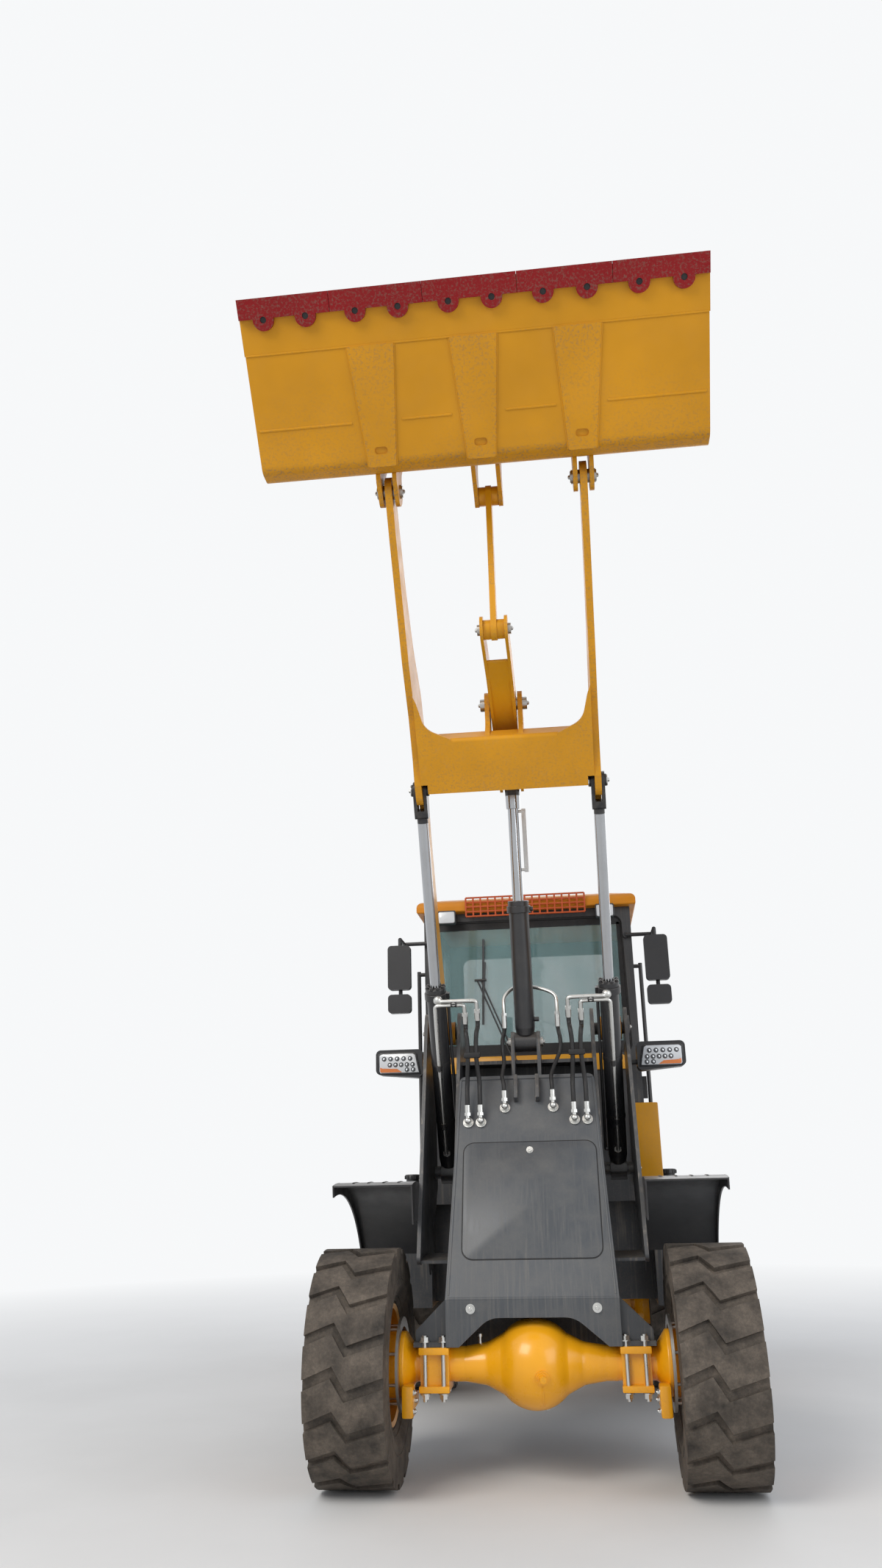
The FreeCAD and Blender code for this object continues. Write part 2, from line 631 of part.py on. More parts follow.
def boom():
    """The two arms, the box beam between them, the gussets and the bellcrank brackets."""
    pieces = [arm(1), arm(-1)]
    arm_face = size.arm_offset - size.arm_thick / 2
    skin = 14
    beam = plate("yz", (-arm_face, arm_face), [
        (-size.beam_from, size.beam_low), (-size.beam_to, size.beam_low, 20),
        (-size.beam_to, size.beam_high, 20), (-size.beam_from, size.beam_high)])
    hollow = plate("yz", (-arm_face, arm_face), [
        (-size.beam_from - skin, size.beam_low + skin), (-size.beam_to + skin, size.beam_low + skin),
        (-size.beam_to + skin, size.beam_high - skin), (-size.beam_from - skin, size.beam_high - skin)])
    pockets = []
    pin = size.lift_pin_along
    for _, sign in SIDES:
        pocket = sorted((sign * (arm_face - 36), sign * (arm_face + 1)))
        pockets.append(box(pocket, (-pin - 58, -pin + 60), (size.beam_low - 10, 56)))
    pieces.append(cut(beam, hollow, *pockets))
    for _, sign in SIDES:
        edge = sign * arm_face
        flare = [
            (edge, -size.beam_to - 250), (edge - sign * 18, -size.beam_to - 200, 60),
            (edge - sign * 50, -size.beam_to - 60, 110), (edge - sign * 190, -size.beam_to + 4, 60),
            (edge - sign * 190, -size.beam_to + 30), (edge, -size.beam_to + 30),
        ]
        pieces.append(plate("xy", (size.beam_low, size.beam_low + skin), flare))
        faces = sorted((sign * (size.bracket_offset - size.bracket_thick / 2),
                        sign * (size.bracket_offset + size.bracket_thick / 2)))
        bracket = [
            (-size.beam_to + 2, size.beam_low + 20), (-size.beam_to - 30, 60, 60),
            (-size.crank_along - 68, size.crank_above - 20, 60), (-size.crank_along - 60, size.crank_above + 68, 60),
            (-size.crank_along + 60, size.crank_above + 68, 60), (-size.beam_from - 60, size.beam_high - 2, 60),
            (-size.beam_to + 2, size.beam_high - 30),
        ]
        bore = size.pivot_pin_radius + size.pin_clearance
        pieces.append(plate("yz", faces, bracket, [(-size.crank_along, size.crank_above, bore)]))
        collar = sorted((sign * (arm_face - 50), sign * (arm_face + size.arm_thick + 50)))
        pieces.append(cut(rod("x", 68, collar, (0, 0)), rod("x", "pivot_pin_radius + pin_clearance", collar, (0, 0))))
    return fuse(*pieces)


node("boom", boom(), frame=boom_frame)
pins = []
for _, sign in SIDES:
    half = size.ear_gap / 2 + size.ear_thick
    span = sorted((sign * (size.arm_offset - half - 10), sign * (size.arm_offset + half + 10)))
    pins.append(rod("x", "pivot_pin_radius", span, bucket_pin))
node("bucket_pins", *pins)


# Bucket

def bucket_outline(inset):
    """The bucket's section, (ahead, above) of the bucket pin, moved inwards by inset."""
    deep = size.floor_depth
    heel = size.heel_ahead
    return [
        (size.edge_reach - 40, -deep + inset), (heel + 60 + inset * 0.6, -deep + inset, 60),
        (heel + inset, -deep + 70 + inset * 0.5, 60), (heel + inset, 430, 160),
        (size.lip_ahead - 80 + inset * 0.7, size.lip_above - 90, 120), (size.lip_ahead, size.lip_above - inset),
    ]


def bucket_shell():
    """The folded shell, side plates, edge plate, wear plates and ears of the bucket."""
    wall = size.bucket_wall
    half = size.bucket_width / 2
    outer = bucket_outline(0)
    inner = bucket_outline(wall)
    shell_outline = [(-p[0],) + tuple(p[1:]) for p in outer + inner[::-1]]
    shell = plate("yz", (-half, half), shell_outline)
    pieces = [shell]
    deep = size.floor_depth
    side_outline = [(-p[0],) + tuple(p[1:]) for p in outer] + [
        (-size.lip_ahead - 60, size.lip_above, 30), (-size.lip_ahead - 170, size.lip_above - 160, 260),
        (-size.edge_reach + 130, -deep + 190, 200), (-size.edge_reach + 12, -deep + 40, 20),
        (-size.edge_reach + 12, -deep, 0)]
    for _, sign in SIDES:
        faces = sorted((sign * half, sign * (half + size.bucket_side)))
        pieces.append(plate("yz", faces, side_outline))
    edge_half = size.bucket_width / 2 + size.edge_overhang
    blade = [(-size.edge_plate_back, -deep), (-size.edge_reach, -deep), (-size.edge_reach + 30, -deep + 24),
             (-size.edge_plate_back, -deep + 24)]
    pieces.append(plate("yz", (-edge_half, edge_half), blade))
    for x in (-size.arm_offset, 0, size.arm_offset):
        wear = [(x - 113, -size.edge_plate_back, 8), (x + 113, -size.edge_plate_back, 8),
                (x + 68, -size.heel_ahead - 45, 10), (x - 68, -size.heel_ahead - 45, 10)]
        slot = [(x - 32, -size.heel_ahead - 140, 16), (x + 32, -size.heel_ahead - 140, 16),
                (x + 32, -size.heel_ahead - 105, 16), (x - 32, -size.heel_ahead - 105, 16)]
        pieces.append(plate("xy", (-deep - 10, -deep), wear, windows=[slot]))
    pin_bore = size.pivot_pin_radius + size.pin_clearance
    ear = [
        (72, -20, 70), (60, 72, 70), (-60, 110, 60), (-size.heel_ahead - 4, 300, 20),
        (-size.heel_ahead - 4, -90, 10), (-70, -105, 40), (60, -72, 60),
    ]
    for _, sign in SIDES:
        for step in (-1, 1):
            centre = sign * size.arm_offset + step * (size.ear_gap + size.ear_thick) / 2
            faces = (centre - size.ear_thick / 2, centre + size.ear_thick / 2)
            pieces.append(plate("yz", faces, ear, [(0, 0, pin_bore)]))
    back = -size.link_pin_ahead
    centre_ear = [
        (back + 52, size.link_pin_above - 50, 50), (back + 52, size.link_pin_above + 52, 50),
        (-20, size.link_pin_above + 80, 60), (-size.heel_ahead - 4, 420, 20), (-size.heel_ahead - 4, 60, 20),
        (-20, size.link_pin_above - 110, 60), (back - 10, size.link_pin_above - 58, 50),
    ]
    for _, sign in SIDES:
        faces = sorted((sign * size.centre_ear_gap / 2, sign * (size.centre_ear_gap / 2 + size.ear_thick)))
        pieces.append(plate("yz", faces, centre_ear))
    return fuse(*pieces)


node("bucket_shell", bucket_shell(), frame=bucket_frame)


def edge_segments():
    """The bolted edge segments under the blade, each with two bored lobes."""
    count = int(size.segment_count)
    half = size.bucket_width / 2 + size.edge_overhang
    pitch = 2 * half / count
    low = -size.floor_depth - size.segment_thick
    high = -size.floor_depth - 0.3
    front = -size.edge_reach - 12
    segments = []
    for index in range(count):
        start = -half + index * pitch
        strip = box((start + 1, start + pitch - 1), (front, front + size.segment_depth), (low, high))
        lobes = []
        bores = []
        for share in (0.27, 0.73):
            x = start + share * pitch
            y = front + size.segment_depth + 6
            lobes.append(rod("z", "lobe_radius", (low, high), (x, y)))
            bores.append(rod("z", 15, (low - 1, high + 1), (x, y)))
        segments.append(cut(fuse(strip, *lobes), *bores))
    return segments


node("cutting_edge", *edge_segments(), frame=bucket_frame)


# Bellcrank, link and their pins

crank_places = {
    "link": (-size.crank_link_along, size.crank_link_above),
    "rod": (-size.crank_rod_along, size.crank_rod_above),
}
crank_bore = size.pivot_pin_radius + size.pin_clearance


def bellcrank():
    """Two curved side plates joined by a web along their front edge and a hub at the pivot."""
    link_y, link_z = crank_places["link"]
    rod_y, rod_z = crank_places["rod"]
    stations = [(link_y, link_z, size.crank_eye), (link_y * 0.5 - 14, link_z * 0.5 + 20, 84),
                (0, 0, 98), (rod_y * 0.5, rod_z * 0.5, 84), (rod_y, rod_z, size.crank_eye)]
    outline = capsule(stations)
    half = size.crank_half_width
    pieces = []
    for _, sign in SIDES:
        faces = sorted((sign * (half - size.crank_plate), sign * half))
        bores = [(0, 0, crank_bore), (link_y, link_z, size.small_pin_radius + size.pin_clearance)]
        pieces.append(plate("yz", faces, outline, bores))
    inside = half - size.crank_plate
    web_stations = [(link_y * 0.72, link_z * 0.72 + 4, 60), (link_y * 0.4, link_z * 0.4 + 16, 74),
                    (0, 0, 86), (rod_y * 0.42, rod_z * 0.42, 70)]
    side = [(a, b, 500) for a, b in web_edge(web_stations, 0)]
    under = [(a, b, 500) for a, b in web_edge(web_stations, 14)]
    pieces.append(plate("yz", (-inside, inside), side + under[::-1]))
    hub = rod("x", 62, (-inside - 2, inside + 2), (0, 0))
    pieces.append(cut(hub, rod("x", "pivot_pin_radius + pin_clearance", (-inside - 4, inside + 4), (0, 0))))
    return fuse(*pieces)


def web_edge(stations, inset):
    """Points along the lower front edge of a bar through stations, moved inwards by inset."""
    points = []
    for index, (a, b, half) in enumerate(stations):
        before = stations[max(index - 1, 0)]
        after = stations[min(index + 1, len(stations) - 1)]
        run = Vector(after[0] - before[0], after[1] - before[1], 0).normalize()
        side = Vector(run.y, -run.x, 0)
        reach = half - inset
        points.append((a + side.x * reach, b + side.y * reach))
    return points


node("bellcrank", bellcrank(), frame=crank_frame)
outer_bracket = size.bracket_offset + size.bracket_thick / 2
node("bellcrank_pin", rod("x", "pivot_pin_radius", (-outer_bracket - 22, outer_bracket + 22), crank_pin))
half_crank = size.crank_half_width
node("link_pin", rod("x", "small_pin_radius", (-half_crank - 12, half_crank + 12), crank_link_pin))


def link():
    """A thin link with a wide boss at each end, from the bellcrank to the bucket's centre ears."""
    eye = size.link_eye
    half = size.link_thick / 2
    stations = [(0, 0, eye), (0, link_length * 0.3, 46), (0, link_length * 0.7, 46), (0, link_length, eye)]
    bar = plate("yz", (-half, half), capsule(stations), [(0, 0, size.small_pin_radius + size.pin_clearance)])
    low_half = size.crank_half_width - size.crank_plate - 1
    low = cut(rod("x", "link_eye - 6", (-low_half, low_half), (0, 0)),
              rod("x", "small_pin_radius + pin_clearance", (-low_half, low_half), (0, 0)))
    high_half = size.centre_ear_gap / 2 - 1.5
    high = rod("x", "link_eye - 6", (-high_half, high_half), (0, link_length))
    return fuse(bar, low, high)


node("link", link(), frame=link_frame)


# Hydraulic cylinders

def barrel(radius, length, eye, eye_half, rod_radius, pin_radius):
    """A cylinder barrel along +z from its foot eye, with end rings and ports, open for its rod."""
    foot = cut(rod("x", eye, (-eye_half, eye_half), (0, 0)),
               rod("x", pin_radius, (-eye_half, eye_half), (0, 0)))
    tube = turned("z", [(eye * 0.8, 0), (eye * 0.8, radius * 0.86), (eye * 1.5, radius, 10),
                        (length - 70, radius), (length - 70, radius + 12, 3), (length - 30, radius + 12, 3),
                        (length - 30, radius + 4), (length, radius + 4, 6), (length, 0)])
    bore = rod("z", rod_radius, (eye * 1.9, length + 2), (0, 0))
    return [foot, cut(tube, bore)]


def side_port(radius, z, toward):
    """A hose port on a barrel."""
    span = sorted((toward * (radius - 4), toward * (radius + 26)))
    return rod("x", 13, span, (0, z))


lift_rod_bore = "lift_rod_radius + rod_clearance"
for side, sign in SIDES:
    frame = aim(lift_base, lift_pin, sign * size.arm_offset)
    pieces = barrel(size.lift_barrel_radius, size.lift_barrel_length, 62, 46, lift_rod_bore,
                    "pivot_pin_radius + pin_clearance")
    inward = -sign
    pipe_x = inward * (size.lift_barrel_radius + 13)
    pieces.append(rod("z", 9, (120, "lift_barrel_length - 50"), (pipe_x, 0)))
    pieces.append(rod("x", 12, sorted((pipe_x, inward * (size.lift_barrel_radius - 6))), (0, 125)))
    pieces.append(box(sorted((inward * (size.lift_barrel_radius - 4), inward * (size.lift_barrel_radius + 24))),
                      (-14, 14), ("lift_barrel_length - 66", "lift_barrel_length - 34")))
    node(f"lift_barrel_{side}", *pieces, frame=frame)
    end = lift_length
    neck = end - size.fork_throat
    bar = rod("z", "lift_rod_radius", ("lift_barrel_length - 32", neck - 20), (0, 0))
    inner = size.arm_thick / 2 + 1.5
    outer = inner + 18
    yoke = plate("yz", (-outer, outer), [(-40, neck - 46, 16), (40, neck - 46, 16), (46, neck), (46, end, 45),
                                         (46, end + 46, 45), (-46, end + 46, 45), (-46, neck)])
    slot = box((-inner, inner), (-60, 60), (neck, end + 60))
    pieces = [bar, cut(yoke, slot)]
    for step in (-1, 1):
        cap = sorted((step * outer, step * (outer + 10)))
        pieces.append(rod("x", 34, cap, (0, end)))
    node(f"lift_rod_{side}", *pieces, frame=frame)

tilt_eye_half = size.post_half_gap - 1
tilt_pieces = barrel(size.tilt_barrel_radius, size.tilt_barrel_length, 56, tilt_eye_half,
                     "tilt_rod_radius + rod_clearance", "small_pin_radius + pin_clearance")
tilt_pieces.append(side_port(size.tilt_barrel_radius, 130, 1))
tilt_pieces.append(side_port(size.tilt_barrel_radius, size.tilt_barrel_length - 50, 1))
node("tilt_barrel", *tilt_pieces, frame=tilt_frame)
tilt_rod_eye_half = size.crank_half_width - size.crank_plate - 2
tilt_neck = turned("z", [(tilt_length - 170, 0), (tilt_length - 170, 40, 4), (tilt_length - 40, 44, 8),
                         (tilt_length - 40, 0)])
node("tilt_rod",
     rod("z", "tilt_rod_radius", (260, tilt_length - 160), (0, 0)),
     tilt_neck,
     rod("x", 50, (-tilt_rod_eye_half, tilt_rod_eye_half), (0, tilt_length)),
     frame=tilt_frame)
post_outer = size.post_half_gap + size.post_thick
node("tilt_pin", rod("x", "small_pin_radius", (-post_outer - 12, post_outer + 12), tilt_base))


def level_frame(base, end):
    """A frame at base (x, y) at the steering cylinders' height: +Z to end and +X upwards."""
    run = Vector(end[0] - base[0], end[1] - base[1], 0)
    up = Vector(0, 0, 1)
    turn = FreeCAD.Rotation(up, run.cross(up), run, "ZXY")
    return FreeCAD.Placement(Vector(base[0], base[1], size.steer_height), turn)


def steer_eye(along):
    """An eye across a steering cylinder's axis."""
    return rod("x", 32, (-36, 36), (0, along))


steer_length = math.hypot(size.steer_rod_x - size.steer_base_x, size.steer_rod_y - size.steer_base_y)
steer_reach = 440
for side, sign in SIDES:
    base = (sign * size.steer_base_x, size.steer_base_y)
    end = (sign * size.steer_rod_x, size.steer_rod_y)
    frame = level_frame(base, end)
    tube = turned("z", [(30, 0), (30, 24), (60, size.steer_barrel_radius, 6),
                        (steer_reach, size.steer_barrel_radius, 4), (steer_reach, 0)])
    bore = rod("z", "steer_rod_radius + rod_clearance", (52, steer_reach + 2), (0, 0))
    pin_bore = rod("x", 16.4, (-37, 37), (0, 0))
    node(f"steer_barrel_{side}", cut(tube, bore), cut(steer_eye(0), pin_bore), frame=frame)
    node(f"steer_rod_{side}", rod("z", "steer_rod_radius", (214, steer_length - 28), (0, 0)),
         steer_eye(steer_length), frame=frame)


# Rear frame

def rear_chassis():
    """Side rails, bulkheads, hinge forks with pins, axle seats and steering ears."""
    pieces = []
    half = size.rail_thick / 2
    for _, sign in SIDES:
        faces = sorted((sign * (size.rail_x - half), sign * (size.rail_x + half)))
        pieces.append(plate("yz", faces, [
            (size.bulkhead_y, size.rail_low_z), (size.bulkhead_y, 1090, 20), (size.bulkhead_y + 160, 1090, 60),
            (size.bulkhead_y + 260, size.rail_high_z, 60), (size.weight_front_y, size.rail_high_z),
            (size.weight_front_y, size.rail_low_z + 60, 20), (size.weight_front_y - 250, size.rail_low_z + 8, 40),
            (size.wheelbase - 300, size.rail_low_z + 8)]))
        seat = sorted((sign * (size.rail_x - 15), sign * 570))
        pieces.append(box(seat, ("wheelbase - 110", "wheelbase + 110"), ("frame_foot_z", "frame_foot_z + 30")))
        inner = sorted((sign * (size.steer_base_x - 40), sign * (size.rail_x + half)))
        for low in (steer_ear_low, steer_ear_high):
            pieces.append(box(inner, ("steer_base_y - 45", "bulkhead_y"), (low, low + 14)))
        pieces.append(rod("z", 16, (steer_ear_low, steer_ear_high + 14), (sign * size.steer_base_x, "steer_base_y")))
    width = size.rail_x + half
    pieces.append(box((-width, width), ("bulkhead_y", "bulkhead_y + 30"), ("lower_tongue_z - fork_thick", 1090)))
    pieces.append(box((-width, width), ("weight_front_y - 30", "weight_front_y"), ("rail_low_z + 60", "rail_high_z")))
    reach = size.tongue_radius
    fork = [(-reach, size.steer_y - reach, reach), (reach, size.steer_y - reach, reach),
            (reach, size.steer_y + 60, 40), (width, size.bulkhead_y - 150, 60), (width, size.bulkhead_y + 4),
            (-width, size.bulkhead_y + 4), (-width, size.bulkhead_y - 150, 60), (-reach, size.steer_y + 60, 40)]
    for tongue_z in ("upper_tongue_z", "lower_tongue_z"):
        pieces.append(plate("xy", (f"{tongue_z} - fork_thick - 1", f"{tongue_z} - 1"), fork))
        top = f"{tongue_z} + tongue_thick + 1"
        pieces.append(plate("xy", (top, f"{top} + fork_thick"), fork))
        pieces.append(rod("z", "steer_pin_radius", (f"{tongue_z} - fork_thick - 14", f"{top} + fork_thick + 14"),
                          (0, "steer_y")))
    passage = rod("y", 90, ("bulkhead_y - 5", "bulkhead_y + 40"), (0, 745))
    return cut(fuse(*pieces), passage)


node("rear_chassis", rear_chassis())


def counterweight():
    """The cast counterweight with its tow slot and the tow pin bore."""
    outline = [
        (size.weight_front_y, 720, 20), (size.weight_front_y, 1250, 20), (size.rear_end_y - 40, 1250, 30),
        (size.rear_end_y, 1120, 60), (size.rear_end_y, 800, 60), (size.rear_end_y - 50, 700, 12),
        (size.weight_front_y + 20, 700, 20),
    ]
    block = plate("yz", (-size.weight_half, size.weight_half), outline)
    slot = box((-90, 90), ("rear_end_y - 140", "rear_end_y + 10"), (880, 950))
    bore = rod("z", 21, (680, 1260), (0, "rear_end_y - 85"))
    corner_cuts = []
    for _, sign in SIDES:
        corner_cuts.append(plate("xy", (690, 1260), [
            (sign * (size.weight_half + 1), size.rear_end_y - 90), (sign * (size.weight_half + 1), size.rear_end_y + 1),
            (sign * (size.weight_half - 130), size.rear_end_y + 1)]))
    return cut(block, slot, bore, *corner_cuts)


node("counterweight", counterweight())


def engine():
    """The engine as one plain block, with the gearbox and the drive line to the hinge."""
    joint_y = size.steer_y
    line = [
        box((-270, 270), (2990, 3500), (900, 1640)),
        box((-190, 190), (2300, 2990), ("tyre_radius + axle_bowl_radius + 30", 1180)),
        box((-170, 170), (2040, 2300), (560, 900)),
        rod("y", "shaft_radius", (joint_y + 50, 2045), (0, 740)),
        rod("y", 50, (joint_y + 44, joint_y + 70), (0, 740)),
        rod("y", 30, (2295, size.wheelbase - size.axle_bowl_radius - 30), (0, "tyre_radius + 62")),
        rod("y", 52, (size.wheelbase - size.axle_bowl_radius - 34, size.wheelbase - size.axle_bowl_radius - 0.4),
            (0, "tyre_radius + 62")),
    ]
    for _, sign in SIDES:
        for y in (3060, 3400):
            line.append(box(sorted((sign * 260, sign * (size.rail_x - 15.3))), (y - 40, y + 40), (905, 950)))
        line.append(box(sorted((sign * 160, sign * (size.rail_x - 15.3))), (2140, 2200), (800, 860)))
    return line


node("engine_block", *engine())


def hinge_leaves(leaf_y, centres):
    """Hood hinge knuckles about the hinge line, each with a leaf towards leaf_y."""
    pieces = []
    for x in centres:
        low, high = x - 22, x + 22
        pieces.append(rod("x", 8, (low, high), ("hood_front_y - 3", "hood_high_z + 8.3")))
        leaf = sorted((size.hood_front_y - 3, leaf_y), key=float)
        pieces.append(box((low, high), leaf, ("hood_high_z", "hood_high_z + 8")))
    return pieces


def cowl():
    """The fixed engine bay sides and the cowl behind the cab."""
    top = size.hood_high_z
    half = size.hood_half
    front = plate("xz", (2790, "hood_front_y - 6"), [
        (-half, 965, 0), (half, 965, 0), (half, top, 60), (-half, top, 60)])
    hollow = plate("xz", (2780, "hood_front_y + 4"), [
        (-half + 20, 955), (half - 20, 955), (half - 20, top - 20, 45), (-half + 20, top - 20, 45)])
    face = plate("xz", (2790, 2806), [
        (-half + 10, 1520, 0), (half - 10, 1520, 0), (half - 10, top - 10, 50), (-half + 10, top - 10, 50)])
    pieces = [cut(front, hollow), face]
    for _, sign in SIDES:
        span = sorted((sign * (half - 16), sign * half))
        pieces.append(box(span, ("hood_front_y - 8", "weight_front_y - 0.3"), (965, "hood_low_z - 5")))
        shelf = sorted((sign * (size.rail_x - 15), sign * half))
        pieces.append(box(shelf, (2790, "weight_front_y - 0.3"), ("rail_high_z", "rail_high_z + 12")))
    pieces += hinge_leaves(size.hood_front_y - 40, (-115, -25, 25, 115))
    return fuse(*pieces)


node("engine_cowl", cowl())


def hood():
    """The tilting engine hood: top and sides, open below and ahead, with side louvres."""
    top = size.hood_high_z
    half = size.hood_half
    wall = size.hood_wall
    outer = plate("xz", ("hood_front_y", "hood_back_y"), [
        (-half, size.hood_low_z), (half, size.hood_low_z), (half, top, 60), (-half, top, 60)])
    inner = plate("xz", ("hood_front_y - 10", "hood_back_y + 10"), [
        (-half + wall, size.hood_low_z - 5), (half - wall, size.hood_low_z - 5),
        (half - wall, top - wall, 45), (-half + wall, top - wall, 45)])
    slots = []
    for step in range(7):
        z = 1420 + step * 50
        slots.append(box((-half - 5, half + 5), (3080, 3480), (z, z + 18)))
    shell = cut(cut(outer, inner), *slots)
    return [shell] + hinge_leaves(size.hood_front_y + 50, (-70, 70))


node("engine_hood", *hood())


def radiator_grille():
    """The rear grille in its frame."""
    half = size.hood_half - size.hood_wall
    low, high = size.hood_low_z, size.hood_high_z - size.hood_wall
    frame = plate("xz", ("hood_back_y - 45", "hood_back_y - 5"),
                  [(-half, low), (half, low), (half, high, 60), (-half, high, 60)],
                  windows=[[(-half + 45, low + 45, 20), (half - 45, low + 45, 20), (half - 45, high - 45, 30),
                            (-half + 45, high - 45, 30)]])
    pieces = [frame]
    for step in range(11):
        z = low + 70 + step * 48
        pieces.append(box((-half + 40, half - 40), ("hood_back_y - 35", "hood_back_y - 20"), (z, z + 20)))
    back = box((-half + 44, half - 44), ("hood_back_y - 62", "hood_back_y - 44"), (low, high - 30))
    return fuse(*pieces, back)


node("radiator_grille", radiator_grille())

stack_z = size.hood_high_z
stack = turned("z", [(stack_z - 24, 0), (stack_z - 24, 80), (stack_z + 16, 80), (stack_z + 24, 62, 6),
                     (stack_z + 260, 62, 20), (stack_z + 280, size.stack_radius, 6),
                     (size.stack_top_z, size.stack_radius), (size.stack_top_z, 34), (size.stack_top_z - 200, 34),
                     (size.stack_top_z - 200, 0)], (-240, 2875, 0))
cleaner = turned("z", [(stack_z - 24, 0), (stack_z - 24, 50), (stack_z + 120, 50), (stack_z + 130, 95, 10),
                       (stack_z + 230, 100, 30), (stack_z + 290, 70, 30), (stack_z + 290, 0)], (240, 2882, 0))


def seated(piece):
    """A turned piece cut off flush with the top of the cowl, 0.3 above it."""
    return cut(piece, box((-600, 600), (2600, 3200), (1800, "hood_high_z + 0.3")))


node("exhaust_stack", seated(stack))
node("air_cleaner", seated(cleaner))


# Cab

door_hinge_y = size.door_back_y + 3


def cab_floor():
    """The cab floor with its sills and feet."""
    floor = box(("-cab_half", "cab_half"), ("cab_front_y", "cab_back_y"), ("cab_floor_z", "cab_floor_z + 30"))
    pieces = [floor]
    for _, sign in SIDES:
        for y in (1800, 2600):
            foot = sorted((sign * 255, sign * (size.rail_x + 13)))
            low = 1090.3 if y < 1950 else size.rail_high_z + 0.3
            pieces.append(box(foot, (y - 60, y + 60), (low, "cab_floor_z")))
    return fuse(*pieces)


def cab_front():
    """The front wall with the windscreen opening."""
    half = size.cab_half
    outline = [(-half, size.cab_floor_z + 30), (half, size.cab_floor_z + 30), (half, size.cab_top_z),
               (-half, size.cab_top_z)]
    window = [(-half + 45, size.screen_low_z, 50), (half - 45, size.screen_low_z, 50),
              (half - 60, size.screen_high_z, 60), (-half + 60, size.screen_high_z, 60)]
    return plate("xz", ("cab_front_y", "cab_front_y + cab_wall"), outline, windows=[window])


def cab_rear():
    """The rear wall with its window opening."""
    half = size.cab_half
    outline = [(-half, size.cab_floor_z + 30), (half, size.cab_floor_z + 30), (half, size.cab_top_z),
               (-half, size.cab_top_z)]
    return plate("xz", ("cab_back_y - cab_wall", "cab_back_y"), outline, windows=[rear_window])


rear_window = [(-560, 1990, 60), (560, 1990, 60), (560, 3000, 60), (-560, 3000, 60)]
quarter_window = [(2300, 1960, 50), (2690, 1960, 50), (2690, 3010, 60), (2300, 3010, 60)]


def cab_side(sign):
    """A side wall with the door opening and the quarter window opening."""
    faces = sorted((sign * (size.cab_half - size.cab_wall), sign * size.cab_half))
    front = size.cab_front_y + size.cab_wall
    back = size.cab_back_y - size.cab_wall
    outline = [(front, size.cab_floor_z + 30), (back, size.cab_floor_z + 30), (back, size.cab_top_z),
               (front, size.cab_top_z)]
    door = [(size.door_front_y, size.cab_sill_z, 30), (size.door_back_y, size.cab_sill_z, 30),
            (size.door_back_y, size.door_high_z, 60), (size.door_front_y, size.door_high_z, 60)]
    return plate("yz", faces, outline, windows=[door, quarter_window])


def door_hinge(sign, side_y, bottoms):
    """Door hinge knuckles about the hinge line, each with a leaf towards side_y."""
    pieces = []
    for low in bottoms:
        high = low + 44
        pieces.append(rod("z", 9, (low, high), (sign * (size.cab_half + 9.3), door_hinge_y)))
        leaf = sorted((sign * size.cab_half, sign * (size.cab_half + 6)))
        pieces.append(box(leaf, sorted((door_hinge_y, side_y)), (low, high)))
    return pieces


def shrunk(window, gap):
    """A window's outline drawn in by gap."""
    middle_a = sum(p[0] for p in window) / len(window)
    middle_b = sum(p[1] for p in window) / len(window)
    return [(p[0] - math.copysign(gap, p[0] - middle_a), p[1] - math.copysign(gap, p[1] - middle_b), p[2])
            for p in window]


def cab_glass():
    """Windscreen, rear window and quarter windows."""
    half = size.cab_half
    screen = [(-half + 45, size.screen_low_z, 50), (half - 45, size.screen_low_z, 50),
              (half - 60, size.screen_high_z, 60), (-half + 60, size.screen_high_z, 60)]
    panes = [
        plate("xz", ("cab_front_y + 14", "cab_front_y + 14 + glass"), shrunk(screen, 0.3)),
        plate("xz", ("cab_back_y - 14 - glass", "cab_back_y - 14"), shrunk(rear_window, 0.3)),
    ]
    for _, sign in SIDES:
        faces = sorted((sign * (size.cab_half - 14 - size.glass), sign * (size.cab_half - 14)))
        panes.append(plate("yz", faces, shrunk(quarter_window, 0.3)))
    return panes


def cab_roof():
    """The domed roof with its mesh guard along the front edge."""
    front = size.cab_front_y - size.roof_overhang
    back = size.cab_back_y + size.roof_overhang
    low = size.cab_top_z
    high = low + size.roof_thick
    shape = plate("yz", ("-cab_half - 40", "cab_half + 40"), [
        (front, low, 10), (front, low + 70, 50), (front + 200, high, 300), (back - 200, high, 300),
        (back, low + 70, 50), (back, low, 10)])
    side_view = plate("xz", (front - 10, back + 10), [
        (-size.cab_half - 40, low, 10), (size.cab_half + 40, low, 10), (size.cab_half + 40, low + 70, 50),
        (size.cab_half - 160, high + 1, 200), (-size.cab_half + 160, high + 1, 200),
        (-size.cab_half - 40, low + 70, 50)])
    return common(shape, side_view)


def roof_guard():
    """The wire mesh guard in front of the roof."""
    front = size.cab_front_y - size.roof_overhang
    y = front - 16
    low = size.cab_top_z - 40
    half = 400
    bars = []
    for step in range(5):
        z = low + step * 32
        bars.append(rod("x", "guard_bar", (-half, half), (y, z)))
    for step in range(17):
        x = -half + step * half / 8
        bars.append(rod("z", "guard_bar", (low, low + 128), (x, y)))
    for x in (-half, 0, half):
        bars.append(rod("y", "guard_bar", (y, front + 30), (x, "cab_top_z + 30")))
    return bars


node("cab_floor", cab_floor())
node("cab_front", cab_front())
node("cab_rear", cab_rear())
node("cab_sides", *[fuse(cab_side(sign), *door_hinge(sign, door_hinge_y + 45, (1600, 1690, 2700, 2790)))
                    for _, sign in SIDES])
node("cab_roof", cab_roof(), *roof_guard())
node("cab_glass", *cab_glass())


